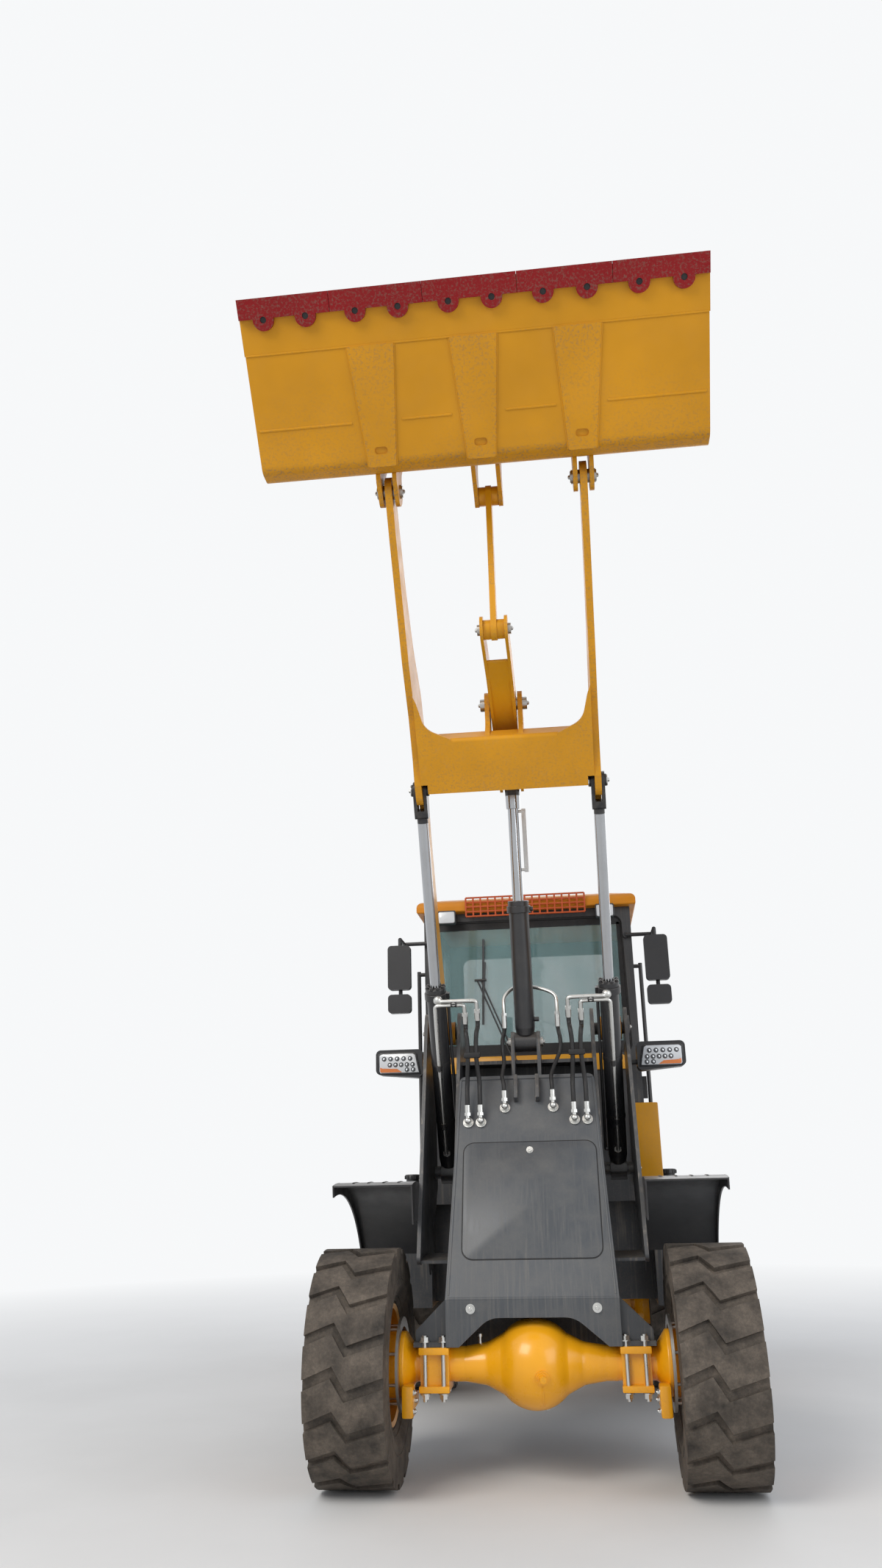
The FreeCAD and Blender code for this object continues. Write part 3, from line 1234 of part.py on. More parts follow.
def door(sign):
    """A door frame plate with its window opening, hinges and handle."""
    gap = size.door_gap
    faces = sorted((sign * (size.cab_half - size.cab_wall + 4), sign * size.cab_half))
    outline = [(size.door_front_y + gap, size.cab_sill_z + gap, 26), (size.door_back_y - gap, size.cab_sill_z + gap, 26),
               (size.door_back_y - gap, size.door_high_z - gap, 56), (size.door_front_y + gap, size.door_high_z - gap, 56)]
    slab = plate("yz", faces, outline, windows=[door_window])
    grip = sorted((sign * size.cab_half, sign * (size.cab_half + 34)))
    handle = box(grip, ("door_front_y + 24", "door_front_y + 48"), (1850, 1990))
    return fuse(slab, handle, *door_hinge(sign, door_hinge_y - 55, (1645, 2745)))


door_window = [(1600, 1780, 40), (2165, 1780, 40), (2165, 2985, 60), (1600, 2985, 60)]
for side, sign in SIDES:
    node(f"door_{side}", door(sign))
    faces = sorted((sign * (size.cab_half - 14 - size.glass), sign * (size.cab_half - 14)))
    node(f"door_glass_{side}", plate("yz", faces, shrunk(door_window, 0.3)))


def seat():
    """The driver's seat: pedestal, cushion and backrest."""
    pedestal = box((-170, 170), (2180, 2480), ("cab_floor_z + 30.3", 1500))
    cushion = plate("yz", (-250, 250), [
        (2080, 1500, 20), (2080, 1620, 50), (2540, 1600, 40), (2540, 1500, 20)])
    back = plate("yz", (-240, 240), [
        (2500, 1560, 20), (2560, 2180, 60), (2660, 2180, 40), (2610, 1540, 20)])
    return fuse(pedestal, cushion, back)


node("driver_seat", seat())
column = [
    box((-90, 90), (1580, 1720), ("cab_floor_z + 30.3", 1980)),
    rod("z", 24, (1970, 2080), (0, 1670)),
]
wheel_ring = doc.addObject("Part::Torus", fresh("ring"))
wheel_ring.Radius1 = 190
wheel_ring.Radius2 = 14
wheel_ring.Placement = FreeCAD.Placement(Vector(0, 1720, 2110), FreeCAD.Rotation(Vector(1, 0, 0), -20))
column.append(wheel_ring)
column.append(rod("x", 11, (-190, 190), (1720, 2110)))
column.append(rod("z", 30, (2060, 2120), (0, 1705)))
node("steering_column", *column)


def tank(sign):
    """A side tank with its filler neck."""
    x_span = sorted((sign * (size.rail_x + 15.3), sign * (size.cab_half + 10)))
    lower = box(x_span, ("tank_front_y + 180", "tank_back_y"), (640, 1225))
    outer_span = sorted((sign * (size.cab_half + 0.3), sign * size.tank_outer))
    outer = box(outer_span, ("tank_front_y", "tank_back_y"), (620, "tank_top_z"))
    neck = rod("z", 42, ("tank_top_z", "tank_top_z + 24"), (sign * 830, "tank_front_y + 110"))
    return fuse(lower, outer, neck)


node("side_tanks", tank(1), tank(-1))


def steps(sign):
    """The cab steps on one side."""
    pieces = []
    for z in (420, 720, 1020):
        tread = sorted((sign * (size.tank_outer + 0.3), sign * 1035))
        pieces.append(box(tread, (1590, 1910), (z, z + 22)))
    for y in (1590, 1896):
        cheek = sorted((sign * (size.tank_outer + 0.3), sign * (size.tank_outer + 30)))
        pieces.append(box(cheek, (y, y + 14), (400, 1060)))
    return fuse(*pieces)


def handrail(sign):
    """A grab rail up the front corner of the cab's side."""
    x = sign * 745
    ends = [rod("z", "rail_tube", (1500, 2720), (x, 1490))]
    for z in (1520, 2700):
        ends.append(rod("x", "rail_tube", sorted((sign * (size.cab_half + 0.3), x)), (1490, z)))
    return fuse(*ends)


node("cab_steps", steps(1), steps(-1))
node("handrails", handrail(1), handrail(-1))


def rear_fender(sign):
    """A rear fender arch with its inner wall down to the chassis."""
    x_span = sorted((sign * size.fender_inner, sign * size.fender_outer))
    centre = (size.wheelbase, size.tyre_radius)
    radius = size.rear_fender_radius
    arch = plate("yz", x_span, sector(centre, radius, radius + size.fender_thick, 22, 150))
    face = sorted((sign * size.fender_inner, sign * (size.fender_inner + size.fender_thick)))
    wall = plate("yz", face, sector(centre, radius - 250, radius, 22, 150))
    stay = sorted((sign * (size.rail_x + 15.3), sign * (size.fender_inner + 2)))
    bar = box(stay, (2500, 2620), (930, 955))
    return fuse(arch, wall, bar)


node("rear_fenders", rear_fender(1), rear_fender(-1))


def mirror(sign):
    """A pair of mirror heads on a tube arm from the cab's front post."""
    x = sign * size.mirror_x
    arm = rod("x", "rail_tube", sorted((sign * 660, x)), (1415, 2900))
    reach = rod("y", "rail_tube", ("mirror_y", 1415), (x, 2900))
    drop = rod("z", "rail_tube", (2460, 2900), (x, "mirror_y"))
    foot = rod("y", 18, (1415, 1449.7), (sign * 660, 2900))
    pieces = [arm, reach, drop, foot]
    for low, high in ((2560, 2850), (2410, 2530)):
        outline = [(x - 75, low, 25), (x + 75, low, 25), (x + 75, high, 25), (x - 75, high, 25)]
        pieces.append(plate("xz", ("mirror_y - 62", "mirror_y - 8"), outline))
    return fuse(*pieces)


node("mirrors", mirror(1), mirror(-1))


def work_lamps():
    """Square work lamps on the roof edge and tail lamps on the counterweight."""
    lamps = []
    front = size.cab_front_y - size.roof_overhang
    for _, sign in SIDES:
        x = sign * size.work_lamp_x
        lamps.append(plate("xz", (front - 50, front + 10), [
            (x - 62, size.work_lamp_z - 48, 12), (x + 62, size.work_lamp_z - 48, 12),
            (x + 62, size.work_lamp_z + 39.7, 12), (x - 62, size.work_lamp_z + 39.7, 12)]))
        tail = sorted((sign * 470, sign * 600))
        lamps.append(box(tail, ("weight_front_y + 20", "rear_end_y - 70"), (1250.3, 1330)))
    return lamps


node("work_lamps", *work_lamps())

# Check, centre and write

doc.recompute()
for item in doc.Objects:
    states = set(item.State)
    if states & {"Invalid", "Error"}:
        raise SystemExit(f"{item.Name} ({item.Label}) failed: {item.State}")

bounds = FreeCAD.BoundBox()
for item in nodes:
    bounds.add(item.Shape.BoundBox)
shift = FreeCAD.Placement(Vector(0, -(bounds.YMin + bounds.YMax) / 2, 0), FreeCAD.Rotation())
for item in nodes:
    item.Placement = shift.multiply(item.Placement)
doc.recompute()

for item in nodes:
    if item.Shape.isNull() or not item.Shape.isValid() or not item.Shape.Solids:
        raise SystemExit(f"{item.Label} has no valid solid")
for item in nodes:
    item.Shape.exportStep(f"parts/{item.Label}.step")
print(f"{len(nodes)} sub-parts, moved by {shift.Base.y:.3f} along y")
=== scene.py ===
import json
import math

import bmesh
import bpy
from mathutils import Matrix, Vector
from mathutils.bvhtree import BVHTree

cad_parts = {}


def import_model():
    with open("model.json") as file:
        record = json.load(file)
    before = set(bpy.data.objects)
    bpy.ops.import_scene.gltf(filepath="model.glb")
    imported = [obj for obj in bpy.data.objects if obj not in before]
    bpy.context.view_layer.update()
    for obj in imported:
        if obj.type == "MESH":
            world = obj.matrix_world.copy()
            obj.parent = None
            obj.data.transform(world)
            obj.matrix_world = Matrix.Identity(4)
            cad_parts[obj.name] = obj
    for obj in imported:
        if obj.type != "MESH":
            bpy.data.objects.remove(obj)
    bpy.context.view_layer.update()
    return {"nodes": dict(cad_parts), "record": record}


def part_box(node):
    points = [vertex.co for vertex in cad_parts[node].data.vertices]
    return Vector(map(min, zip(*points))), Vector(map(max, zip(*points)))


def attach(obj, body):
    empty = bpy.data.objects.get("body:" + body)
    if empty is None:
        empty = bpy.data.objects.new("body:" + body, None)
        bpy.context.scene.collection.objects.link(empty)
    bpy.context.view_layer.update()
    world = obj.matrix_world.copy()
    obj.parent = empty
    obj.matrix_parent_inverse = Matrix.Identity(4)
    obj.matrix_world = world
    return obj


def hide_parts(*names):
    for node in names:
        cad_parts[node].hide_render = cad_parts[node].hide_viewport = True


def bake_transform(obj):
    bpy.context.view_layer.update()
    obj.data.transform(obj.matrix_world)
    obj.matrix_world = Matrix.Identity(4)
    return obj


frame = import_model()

nodes = frame["nodes"]

# Places, in metres. Working y counts back from the front axle, and the frame's own y adds SHIFT.

tyre_low, tyre_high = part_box("tyre_front_left")
SHIFT = (tyre_low.y + tyre_high.y) / 2
FRONT, REAR = "front_frame", "rear_frame"
SIDES = (1, -1)
HANDS = ((1, "left"), (-1, "right"))
X, Y, Z = Vector((1, 0, 0)), Vector((0, 1, 0)), Vector((0, 0, 1))
BOOM_PIVOT, BOOM_RAISE, BOOM_LENGTH = (0.72, 2.22), math.radians(52.9), 3.184
BUCKET_ROLL = math.radians(50)
ARM_X = 0.492
LIFT_BASE, LIFT_LEAN = (0.80, 1.43), math.atan2(1.021, 2.034)
TILT_BASE, TILT_LEAN = (0.55, 2.14), math.asin(0.22647701)
WHEEL_X, AXLE_HEIGHT, WHEELBASE = 0.8635, 0.5375, 2.56


def world(x, y, z):
    """A working place in the frame."""
    return Vector((x, y + SHIFT, z))


def tilted(base, angle, x, along, above):
    """A place on a body that rises forwards at an angle from its pin: along it and above it."""
    return world(x, base[0] - along * math.cos(angle) + above * math.sin(angle),
                 base[1] + along * math.sin(angle) + above * math.cos(angle))


def on_boom(x, along, above):
    return tilted(BOOM_PIVOT, BOOM_RAISE, x, along, above)


BUCKET_PIN = (BOOM_PIVOT[0] - BOOM_LENGTH * math.cos(BOOM_RAISE),
              BOOM_PIVOT[1] + BOOM_LENGTH * math.sin(BOOM_RAISE))


def on_bucket(x, ahead, above):
    """A place on the rolled-back bucket: ahead of its pin along the floor and above it."""
    return tilted(BUCKET_PIN, BUCKET_ROLL, x, ahead, above)


def on_cylinder(base, lean, x, along, out):
    """A place by a cylinder: up from its base pin, and out from its axis towards the front."""
    return world(x, base[0] - along * math.sin(lean) - out * math.cos(lean),
                 base[1] + along * math.cos(lean) - out * math.sin(lean))


def on_lift(x, along, out):
    return on_cylinder(LIFT_BASE, LIFT_LEAN, x, along, out)


def on_tilt(x, along, out):
    return on_cylinder(TILT_BASE, TILT_LEAN, x, along, out)


BUCKET_DOWN = on_bucket(0, 0, -1) - on_bucket(0, 0, 0)
LIFT_UP = on_lift(0, 1, 0) - on_lift(0, 0, 0)
LIFT_OUT = on_lift(0, 0, 1) - on_lift(0, 0, 0)
TILT_UP = on_tilt(0, 1, 0) - on_tilt(0, 0, 0)


def circle(count, radius, across, up, start=0.0):
    """Offsets evenly round a circle, from across towards up."""
    for step in range(count):
        angle = math.tau * (step + start) / count
        yield across * (radius * math.cos(angle)) + up * (radius * math.sin(angle))


def add_object(name, data):
    item = bpy.data.objects.new(name, data)
    bpy.context.collection.objects.link(item)
    return item


# Camera and light

FOCAL_PIXELS, PHOTO_HEIGHT, SENSOR = 1557.7, 2133, 36
YAW, PITCH, ROLL = math.radians(-6.3), math.radians(18.17), math.radians(-1.39)
forward = Vector((math.sin(YAW) * math.cos(PITCH), math.cos(YAW) * math.cos(PITCH), math.sin(PITCH)))
level = Vector((math.cos(YAW), -math.sin(YAW), 0))
upright = level.cross(forward)
right = level * math.cos(ROLL) + upright * math.sin(ROLL)
up = upright * math.cos(ROLL) - level * math.sin(ROLL)
camera = add_object("camera", bpy.data.cameras.new("camera"))
camera.data.lens = FOCAL_PIXELS / PHOTO_HEIGHT * SENSOR
camera.data.clip_end = 200
turn = Matrix((right, up, -forward)).transposed().to_4x4()
camera.matrix_world = Matrix.Translation(world(0.292, -6.263, 1.500)) @ turn
bpy.context.scene.camera = camera


def area_light(name, place, target, size, energy, colour):
    """A square soft light aimed at a target."""
    light = add_object(name, bpy.data.lights.new(name, "AREA"))
    light.data.size, light.data.energy, light.data.color = size, energy, colour
    light.location = world(*place)
    light.rotation_euler = (world(*target) - light.location).to_track_quat("-Z", "Y").to_euler()


area_light("key_light", (-5.5, -8.5, 9.5), (0, 0.3, 2.4), 6.0, 850, (1.0, 0.97, 0.92))
area_light("fill_light", (7.5, -6.0, 4.5), (0, 0, 2.0), 6.0, 260, (0.93, 0.96, 1.0))
area_light("back_light", (3.0, 10.5, 8.0), (0, 1.5, 2.2), 8.0, 260, (0.97, 0.98, 1.0))


# Material tools

class Graph:
    """A material's node graph round one Principled shader."""

    def __init__(self, name):
        self.material = bpy.data.materials.new(name)
        self.material.use_nodes = True
        self.tree = self.material.node_tree
        self.shader = self.tree.nodes["Principled BSDF"]
        self.place = self.add("ShaderNodeTexCoord").outputs["Object"]
        self.surface = self.add("ShaderNodeNewGeometry")

    def add(self, kind, **values):
        node = self.tree.nodes.new(kind)
        for key, value in values.items():
            setattr(node, key, value)
        return node

    def link(self, source, target):
        self.tree.links.new(source, target)

    def feed(self, **sources):
        """Links sockets to the shader's inputs of these names."""
        for key, source in sources.items():
            self.link(source, self.shader.inputs[key.replace("_", " ")])

    def set(self, **values):
        for key, value in values.items():
            self.shader.inputs[key.replace("_", " ")].default_value = value
        return self

    def noise(self, scale, detail=4.0, rough=0.55, stretch=None):
        """Noise from 0 to 1 at a scale, stretched if asked."""
        source = self.place
        if stretch:
            mapping = self.add("ShaderNodeMapping")
            mapping.inputs["Scale"].default_value = stretch
            self.link(source, mapping.inputs["Vector"])
            source = mapping.outputs["Vector"]
        node = self.add("ShaderNodeTexNoise")
        for key, value in (("Scale", scale), ("Detail", detail), ("Roughness", rough)):
            node.inputs[key].default_value = value
        self.link(source, node.inputs["Vector"])
        return node.outputs["Fac"]

    def ramp(self, source, low, high, start=0.0, end=1.0):
        """Maps low..high to start..end, held at both ends."""
        node = self.add("ShaderNodeMapRange")
        for key, value in (("From Min", low), ("From Max", high), ("To Min", start), ("To Max", end)):
            node.inputs[key].default_value = value
        self.link(source, node.inputs["Value"])
        return node.outputs["Result"]

    def maths(self, operation, first, second):
        node = self.add("ShaderNodeMath", operation=operation)
        for socket, value in zip(node.inputs, (first, second)):
            if isinstance(value, (int, float)):
                socket.default_value = value
            else:
                self.link(value, socket)
        return node.outputs["Value"]

    def times(self, first, second):
        return self.maths("MULTIPLY", first, second)

    def mix(self, factor, first, second):
        """A colour mix; first and second are sockets or colours."""
        node = self.add("ShaderNodeMix", data_type="RGBA")
        self.link(factor, node.inputs[0])
        for socket, value in ((node.inputs[6], first), (node.inputs[7], second)):
            if isinstance(value, (tuple, list)):
                socket.default_value = (*value[:3], 1)
            else:
                self.link(value, socket)
        return node.outputs[2]

    def bump(self, height, strength, distance=0.002):
        node = self.add("ShaderNodeBump")
        node.inputs["Strength"].default_value = strength
        node.inputs["Distance"].default_value = distance
        self.link(height, node.inputs["Height"])
        self.feed(Normal=node.outputs["Normal"])

    def part(self, source, letter):
        """One coordinate of a place or a direction."""
        split = self.add("ShaderNodeSeparateXYZ")
        self.link(source, split.inputs["Vector"])
        return split.outputs[letter]

    def facing_up(self):
        """1 where the surface faces up, 0 where it is upright or faces down."""
        return self.ramp(self.part(self.surface.outputs["Normal"], "Z"), 0.1, 0.95)

    def edges(self):
        """1 on sharp outer edges."""
        return self.ramp(self.surface.outputs["Pointiness"], 0.52, 0.62)


DUST = (0.30, 0.25, 0.19)
PALE_DUST = (0.28, 0.24, 0.19)
BARE = (0.16, 0.12, 0.09)
ALONG_ROD = (9, 9, 0.5)


def shade(colour, factor):
    return tuple(min(1.0, part * factor) for part in colour)


def paint(name, colour, rough=0.34, dust=0.25, streaks=0.0, wear=0.0, coat=0.25, shine=0.5, front=None):
    """Sprayed paint with orange peel, colour drift, dust on top faces, run streaks and worn edges.

    front is a second colour and the working y ahead of which it is used.
    """
    graph = Graph(name)
    tint = graph.mix(graph.ramp(graph.noise(2.3, 3), 0.3, 0.7), shade(colour, 0.90), shade(colour, 1.07))
    if front:
        limit = world(0, front[1], 0).y
        tint = graph.mix(graph.ramp(graph.part(graph.place, "Y"), limit, limit - 0.001), tint, front[0])
    grain = graph.ramp(graph.noise(38, 5, 0.7), 0.42, 0.75)
    settled = graph.times(graph.facing_up(), graph.ramp(grain, 0, 1, 0.55, 1.0))
    film = graph.ramp(graph.noise(5.5, 6, 0.65), 0.45, 0.8, 0.0, 0.35)
    amount = graph.times(graph.maths("ADD", settled, film), dust)
    tint = graph.mix(amount, tint, DUST)
    if streaks:
        runs = graph.ramp(graph.noise(1.0, 5, 0.6, stretch=(55, 55, 1.3)), 0.52, 0.74)
        break_up = graph.ramp(graph.noise(7, 3), 0.35, 0.65)
        tint = graph.mix(graph.times(graph.times(runs, break_up), streaks), tint, shade(DUST, 1.35))
    if wear:
        chips = graph.ramp(graph.noise(90, 4, 0.7), 0.5, 0.62)
        tint = graph.mix(graph.times(graph.times(graph.edges(), chips), wear), tint, BARE)
    gloss = graph.ramp(graph.noise(12, 4), 0.3, 0.7, rough - 0.05, rough + 0.08)
    graph.feed(Base_Color=tint, Roughness=graph.maths("ADD", gloss, graph.times(amount, 0.5)))
    graph.bump(graph.noise(160, 2), 0.06, 0.001)
    return graph.set(Coat_Weight=coat, Coat_Roughness=0.15, Specular_IOR_Level=shine).material


def metal(name, colour, rough, grime, brushed=False):
    """Bare or plated metal with faint grime, brushed along its height if asked."""
    graph = Graph(name)
    dirt = graph.ramp(graph.noise(9, 6, 0.7), 0.45, 0.8, 0.0, grime)
    fine = graph.noise(30, 3, 0.6, stretch=ALONG_ROD if brushed else None)
    graph.feed(Base_Color=graph.mix(dirt, colour, shade(colour, 0.45)),
               Roughness=graph.ramp(fine, 0.3, 0.7, rough - 0.06, rough + 0.12))
    graph.bump(fine, 0.04, 0.0006)
    return graph.set(Metallic=1.0).material


def rubber(name, colour, dust_colour, dust, rough, pattern):
    """Rubber with rubbed-in dust and a fine moulded grain."""
    graph = Graph(name)
    patches = graph.ramp(graph.noise(6, 6, 0.7), 0.32, 0.72)
    fine = graph.ramp(graph.noise(70, 5, 0.75), 0.35, 0.75)
    amount = graph.times(graph.times(patches, graph.ramp(fine, 0, 1, 0.45, 1.0)), dust)
    graph.feed(Base_Color=graph.mix(amount, colour, dust_colour),
               Roughness=graph.ramp(fine, 0, 1, rough - 0.12, rough + 0.12))
    graph.bump(graph.noise(pattern, 4, 0.7), 0.35, 0.002)
    return graph.set(Specular_IOR_Level=0.35).material


def plastic(name, colour, rough, coat=0.0):
    """Moulded plastic with a fine grain."""
    graph = Graph(name)
    tint = graph.mix(graph.ramp(graph.noise(4, 4), 0.3, 0.7), shade(colour, 0.85), shade(colour, 1.15))
    dusty = graph.times(graph.facing_up(), graph.ramp(graph.noise(24, 5, 0.7), 0.4, 0.75, 0.05, 0.35))
    graph.feed(Base_Color=graph.mix(dusty, tint, PALE_DUST),
               Roughness=graph.ramp(graph.noise(40, 3), 0.3, 0.7, rough - 0.07, rough + 0.07))
    graph.bump(graph.noise(260, 2), 0.12, 0.0008)
    return graph.set(Coat_Weight=coat).material


def glazing(name, colour, alpha_low, alpha_high):
    """Tinted glass with faint wiped dust."""
    graph = Graph(name)
    smear = graph.ramp(graph.noise(3.5, 6, 0.7, stretch=(1.0, 1.0, 0.5)), 0.4, 0.75)
    graph.feed(Base_Color=graph.mix(smear, colour, shade(colour, 1.25)),
               Alpha=graph.ramp(smear, 0, 1, alpha_low, alpha_high),
               Roughness=graph.ramp(graph.noise(20, 4), 0.3, 0.8, 0.03, 0.09))
    return graph.set(Specular_IOR_Level=0.9, Coat_Weight=0.6).material


def lens(name, colour):
    """A clear or coloured lamp lens with a ribbed pattern."""
    graph = Graph(name)
    wave = graph.add("ShaderNodeTexWave")
    wave.inputs["Scale"].default_value = 75
    graph.link(graph.place, wave.inputs["Vector"])
    ribs = wave.outputs["Fac"]
    graph.feed(Base_Color=graph.mix(ribs, shade(colour, 0.75), colour),
               Roughness=graph.ramp(ribs, 0, 1, 0.12, 0.22))
    graph.bump(ribs, 0.25, 0.001)
    return graph.set(Coat_Weight=0.7).material


def cloth(name, colour):
    """Woven seat cloth."""
    graph = Graph(name)
    weave = graph.add("ShaderNodeTexVoronoi")
    weave.inputs["Scale"].default_value = 420
    graph.link(graph.place, weave.inputs["Vector"])
    drift = graph.ramp(graph.noise(12, 4), 0.3, 0.7)
    graph.feed(Base_Color=graph.mix(drift, shade(colour, 0.8), shade(colour, 1.25)),
               Roughness=graph.ramp(graph.noise(60, 3), 0.3, 0.7, 0.82, 0.97))
    graph.bump(weave.outputs["Distance"], 0.4, 0.0012)
    return graph.set(Sheen_Weight=0.3).material


def rod_chrome(name, base, lean, black_from):
    """Chrome rod whose upper end and yoke are painted black."""
    graph = Graph(name)
    shift = graph.add("ShaderNodeVectorMath", operation="SUBTRACT")
    shift.inputs[1].default_value = world(0, *base)
    graph.link(graph.place, shift.inputs[0])
    along = graph.add("ShaderNodeVectorMath", operation="DOT_PRODUCT")
    along.inputs[1].default_value = (0, -math.sin(lean), math.cos(lean))
    graph.link(shift.outputs["Vector"], along.inputs[0])
    head = graph.ramp(along.outputs["Value"], black_from - 0.002, black_from + 0.002)
    dirt = graph.ramp(graph.noise(9, 6, 0.7), 0.45, 0.8, 0.0, 0.2)
    # The chrome colour is set darker than plain chrome to stand for the darker surroundings it would reflect:
    # painted reflection. The noise darkens it further as dirt.
    bare = graph.mix(dirt, (0.43, 0.44, 0.455), (0.22, 0.22, 0.22))
    painted = graph.mix(graph.ramp(graph.noise(24, 4), 0.4, 0.7), (0.016, 0.016, 0.018), (0.05, 0.045, 0.04))
    gloss = graph.ramp(graph.noise(30, 3, 0.6, stretch=ALONG_ROD), 0.3, 0.7, 0.10, 0.20)
    graph.feed(Base_Color=graph.mix(head, bare, painted), Metallic=graph.ramp(head, 0, 1, 1.0, 0.0),
               Roughness=graph.maths("ADD", gloss, graph.ramp(head, 0, 1, 0, 0.22)))
    graph.bump(graph.noise(60, 3, 0.6, stretch=ALONG_ROD), 0.03, 0.0005)
    return graph.material


def dusty_cover(name, colour, dust_colour):
    """Dark paint under wiped, streaked dust, heavier low down."""
    graph = Graph(name)
    low = graph.ramp(graph.part(graph.place, "Z"), 1.75, 0.85, 0.30, 1.0)
    runs = graph.ramp(graph.noise(1.0, 6, 0.65, stretch=(70, 8, 1.6)), 0.46, 0.72)
    clouds = graph.ramp(graph.noise(6.5, 6, 0.62), 0.40, 0.68)
    fine = graph.ramp(graph.noise(95, 4, 0.7), 0.35, 0.80, 0.6, 1.0)
    film = graph.times(graph.maths("MAXIMUM", graph.times(runs, low), graph.times(clouds, 0.55)), fine)
    film = graph.times(film, 0.62)
    drift = graph.mix(graph.ramp(graph.noise(1.7, 3), 0.3, 0.7), shade(colour, 0.90), shade(colour, 1.10))
    graph.feed(Base_Color=graph.mix(film, drift, dust_colour), Roughness=graph.ramp(film, 0, 0.6, 0.40, 0.72))
    graph.bump(graph.noise(150, 2), 0.05, 0.001)
    return graph.set(Coat_Weight=0.1, Coat_Roughness=0.25).material


mats = {
    "cover": dusty_cover("cover_paint", (0.062, 0.068, 0.076), (0.21, 0.195, 0.17)),
    # The bucket's orange is set darker than the axle's to stand for the shade on its underside: painted shade.
    "bucket": paint("bucket_paint_darkened_for_shade", (0.60, 0.265, 0.006), rough=0.42, dust=0.10, wear=0.55, coat=0.05, shine=0.25),
    "boom": paint("boom_paint", (0.64, 0.285, 0.007), rough=0.40, dust=0.08, streaks=0.10, wear=0.35, coat=0.05,
                  shine=0.28),
    "axle": paint("axle_paint", (0.93, 0.41, 0.004), rough=0.28, dust=0.05, wear=0.15, coat=0.40, shine=0.4),
    "rim": paint("rim_paint", (0.72, 0.31, 0.008), rough=0.36, dust=0.28, wear=0.2, coat=0.2),
    "hood": paint("hood_paint", (0.68, 0.305, 0.008), rough=0.36, dust=0.16, streaks=0.12, wear=0.15, coat=0.15,
                  shine=0.3),
    "roof": paint("roof_paint", (0.66, 0.235, 0.008), rough=0.48, dust=0.20, wear=0.1, coat=0.05, shine=0.25,
                  front=((0.50, 0.085, 0.022), 1.3685)),
    "charcoal": paint("charcoal_paint", (0.040, 0.043, 0.048), rough=0.42, dust=0.22, streaks=0.50, wear=0.2,
                      coat=0.12),
    "cab": paint("cab_paint", (0.030, 0.031, 0.034), rough=0.38, dust=0.16, streaks=0.2, wear=0.1, coat=0.2),
    "black": paint("black_paint", (0.016, 0.016, 0.018), rough=0.36, dust=0.16, wear=0.1),
    "red": paint("edge_paint", (0.235, 0.004, 0.006), rough=0.36, dust=0.04, wear=0.5, coat=0.06, shine=0.2),
    "cast": paint("cast_paint", (0.032, 0.033, 0.036), rough=0.55, dust=0.35, streaks=0.25, wear=0.2, coat=0.0),
    "lift_chrome": rod_chrome("lift_rod_chrome", LIFT_BASE, LIFT_LEAN, 2.09),
    "tilt_chrome": rod_chrome("tilt_rod_chrome", TILT_BASE, TILT_LEAN, 1.44),
    "chrome": metal("rod_chrome", (0.66, 0.67, 0.69), 0.14, 0.15),
    "steel": metal("machined_steel", (0.46, 0.45, 0.43), 0.34, 0.45, brushed=True),
    "zinc": metal("zinc_plate", (0.62, 0.62, 0.60), 0.30, 0.3),
    "tyre": rubber("tyre_rubber", (0.030, 0.026, 0.022), (0.26, 0.21, 0.165), 0.85, 0.85, 190),
    "hose": rubber("hose_rubber", (0.011, 0.011, 0.012), (0.10, 0.09, 0.08), 0.25, 0.48, 420),
    "seal": rubber("seal_rubber", (0.010, 0.010, 0.011), (0.09, 0.08, 0.07), 0.3, 0.6, 380),
    "plastic": plastic("black_plastic", (0.018, 0.018, 0.020), 0.42),
    "trim": plastic("grey_trim", (0.075, 0.078, 0.082), 0.55),
    "glass": glazing("tinted_glass", (0.15, 0.29, 0.29), 0.34, 0.46),
    "mirror": metal("mirror_silver", (0.72, 0.75, 0.78), 0.07, 0.1),
    "lens": lens("clear_lens", (0.78, 0.80, 0.82)),
    "amber": lens("amber_lens", (0.80, 0.20, 0.015)),
    "ruby": lens("red_lens", (0.50, 0.010, 0.008)),
    "cloth": cloth("seat_cloth", (0.028, 0.028, 0.031)),
    "indicator": plastic("white_bar", (0.72, 0.73, 0.72), 0.3, 0.4),
}

# CAD nodes by material; a name in the second table stands for a node on each side

SINGLE_NODES = {
    "bucket": "bucket_shell", "red": "cutting_edge", "boom": "boom bellcrank link",
    "steel": "bucket_pins bellcrank_pin link_pin tilt_pin", "tilt_chrome": "tilt_rod", "cover": "front_cover",
    "charcoal": "front_frame front_tower rear_chassis side_tanks", "axle": "front_axle rear_axle",
    "black": "tilt_barrel front_fenders radiator_grille exhaust_stack cab_steps handrails rear_fenders",
    "plastic": "headlights air_cleaner steering_column mirrors work_lamps", "cast": "counterweight engine_block",
    "hood": "engine_cowl engine_hood", "cab": "cab_floor cab_front cab_rear cab_sides", "roof": "cab_roof",
    "glass": "cab_glass", "cloth": "driver_seat",
}
PAIRED_NODES = {
    "black": "lift_barrel steer_barrel", "lift_chrome": "lift_rod", "chrome": "steer_rod", "cab": "door",
    "glass": "door_glass", "tyre": "tyre_front tyre_rear", "rim": "rim_front rim_rear",
}
node_materials = [(name, key) for key, names in SINGLE_NODES.items() for name in names.split()]
node_materials += [(f"{name}_{side}", key) for key, names in PAIRED_NODES.items() for name in names.split()
                   for _, side in HANDS]
for name, key in node_materials:
    slots = nodes[name].data.materials
    slots.clear()
    slots.append(mats[key])

# Stage: a pale floor that fades into the pale background

PALE = (0.93, 0.94, 0.95)


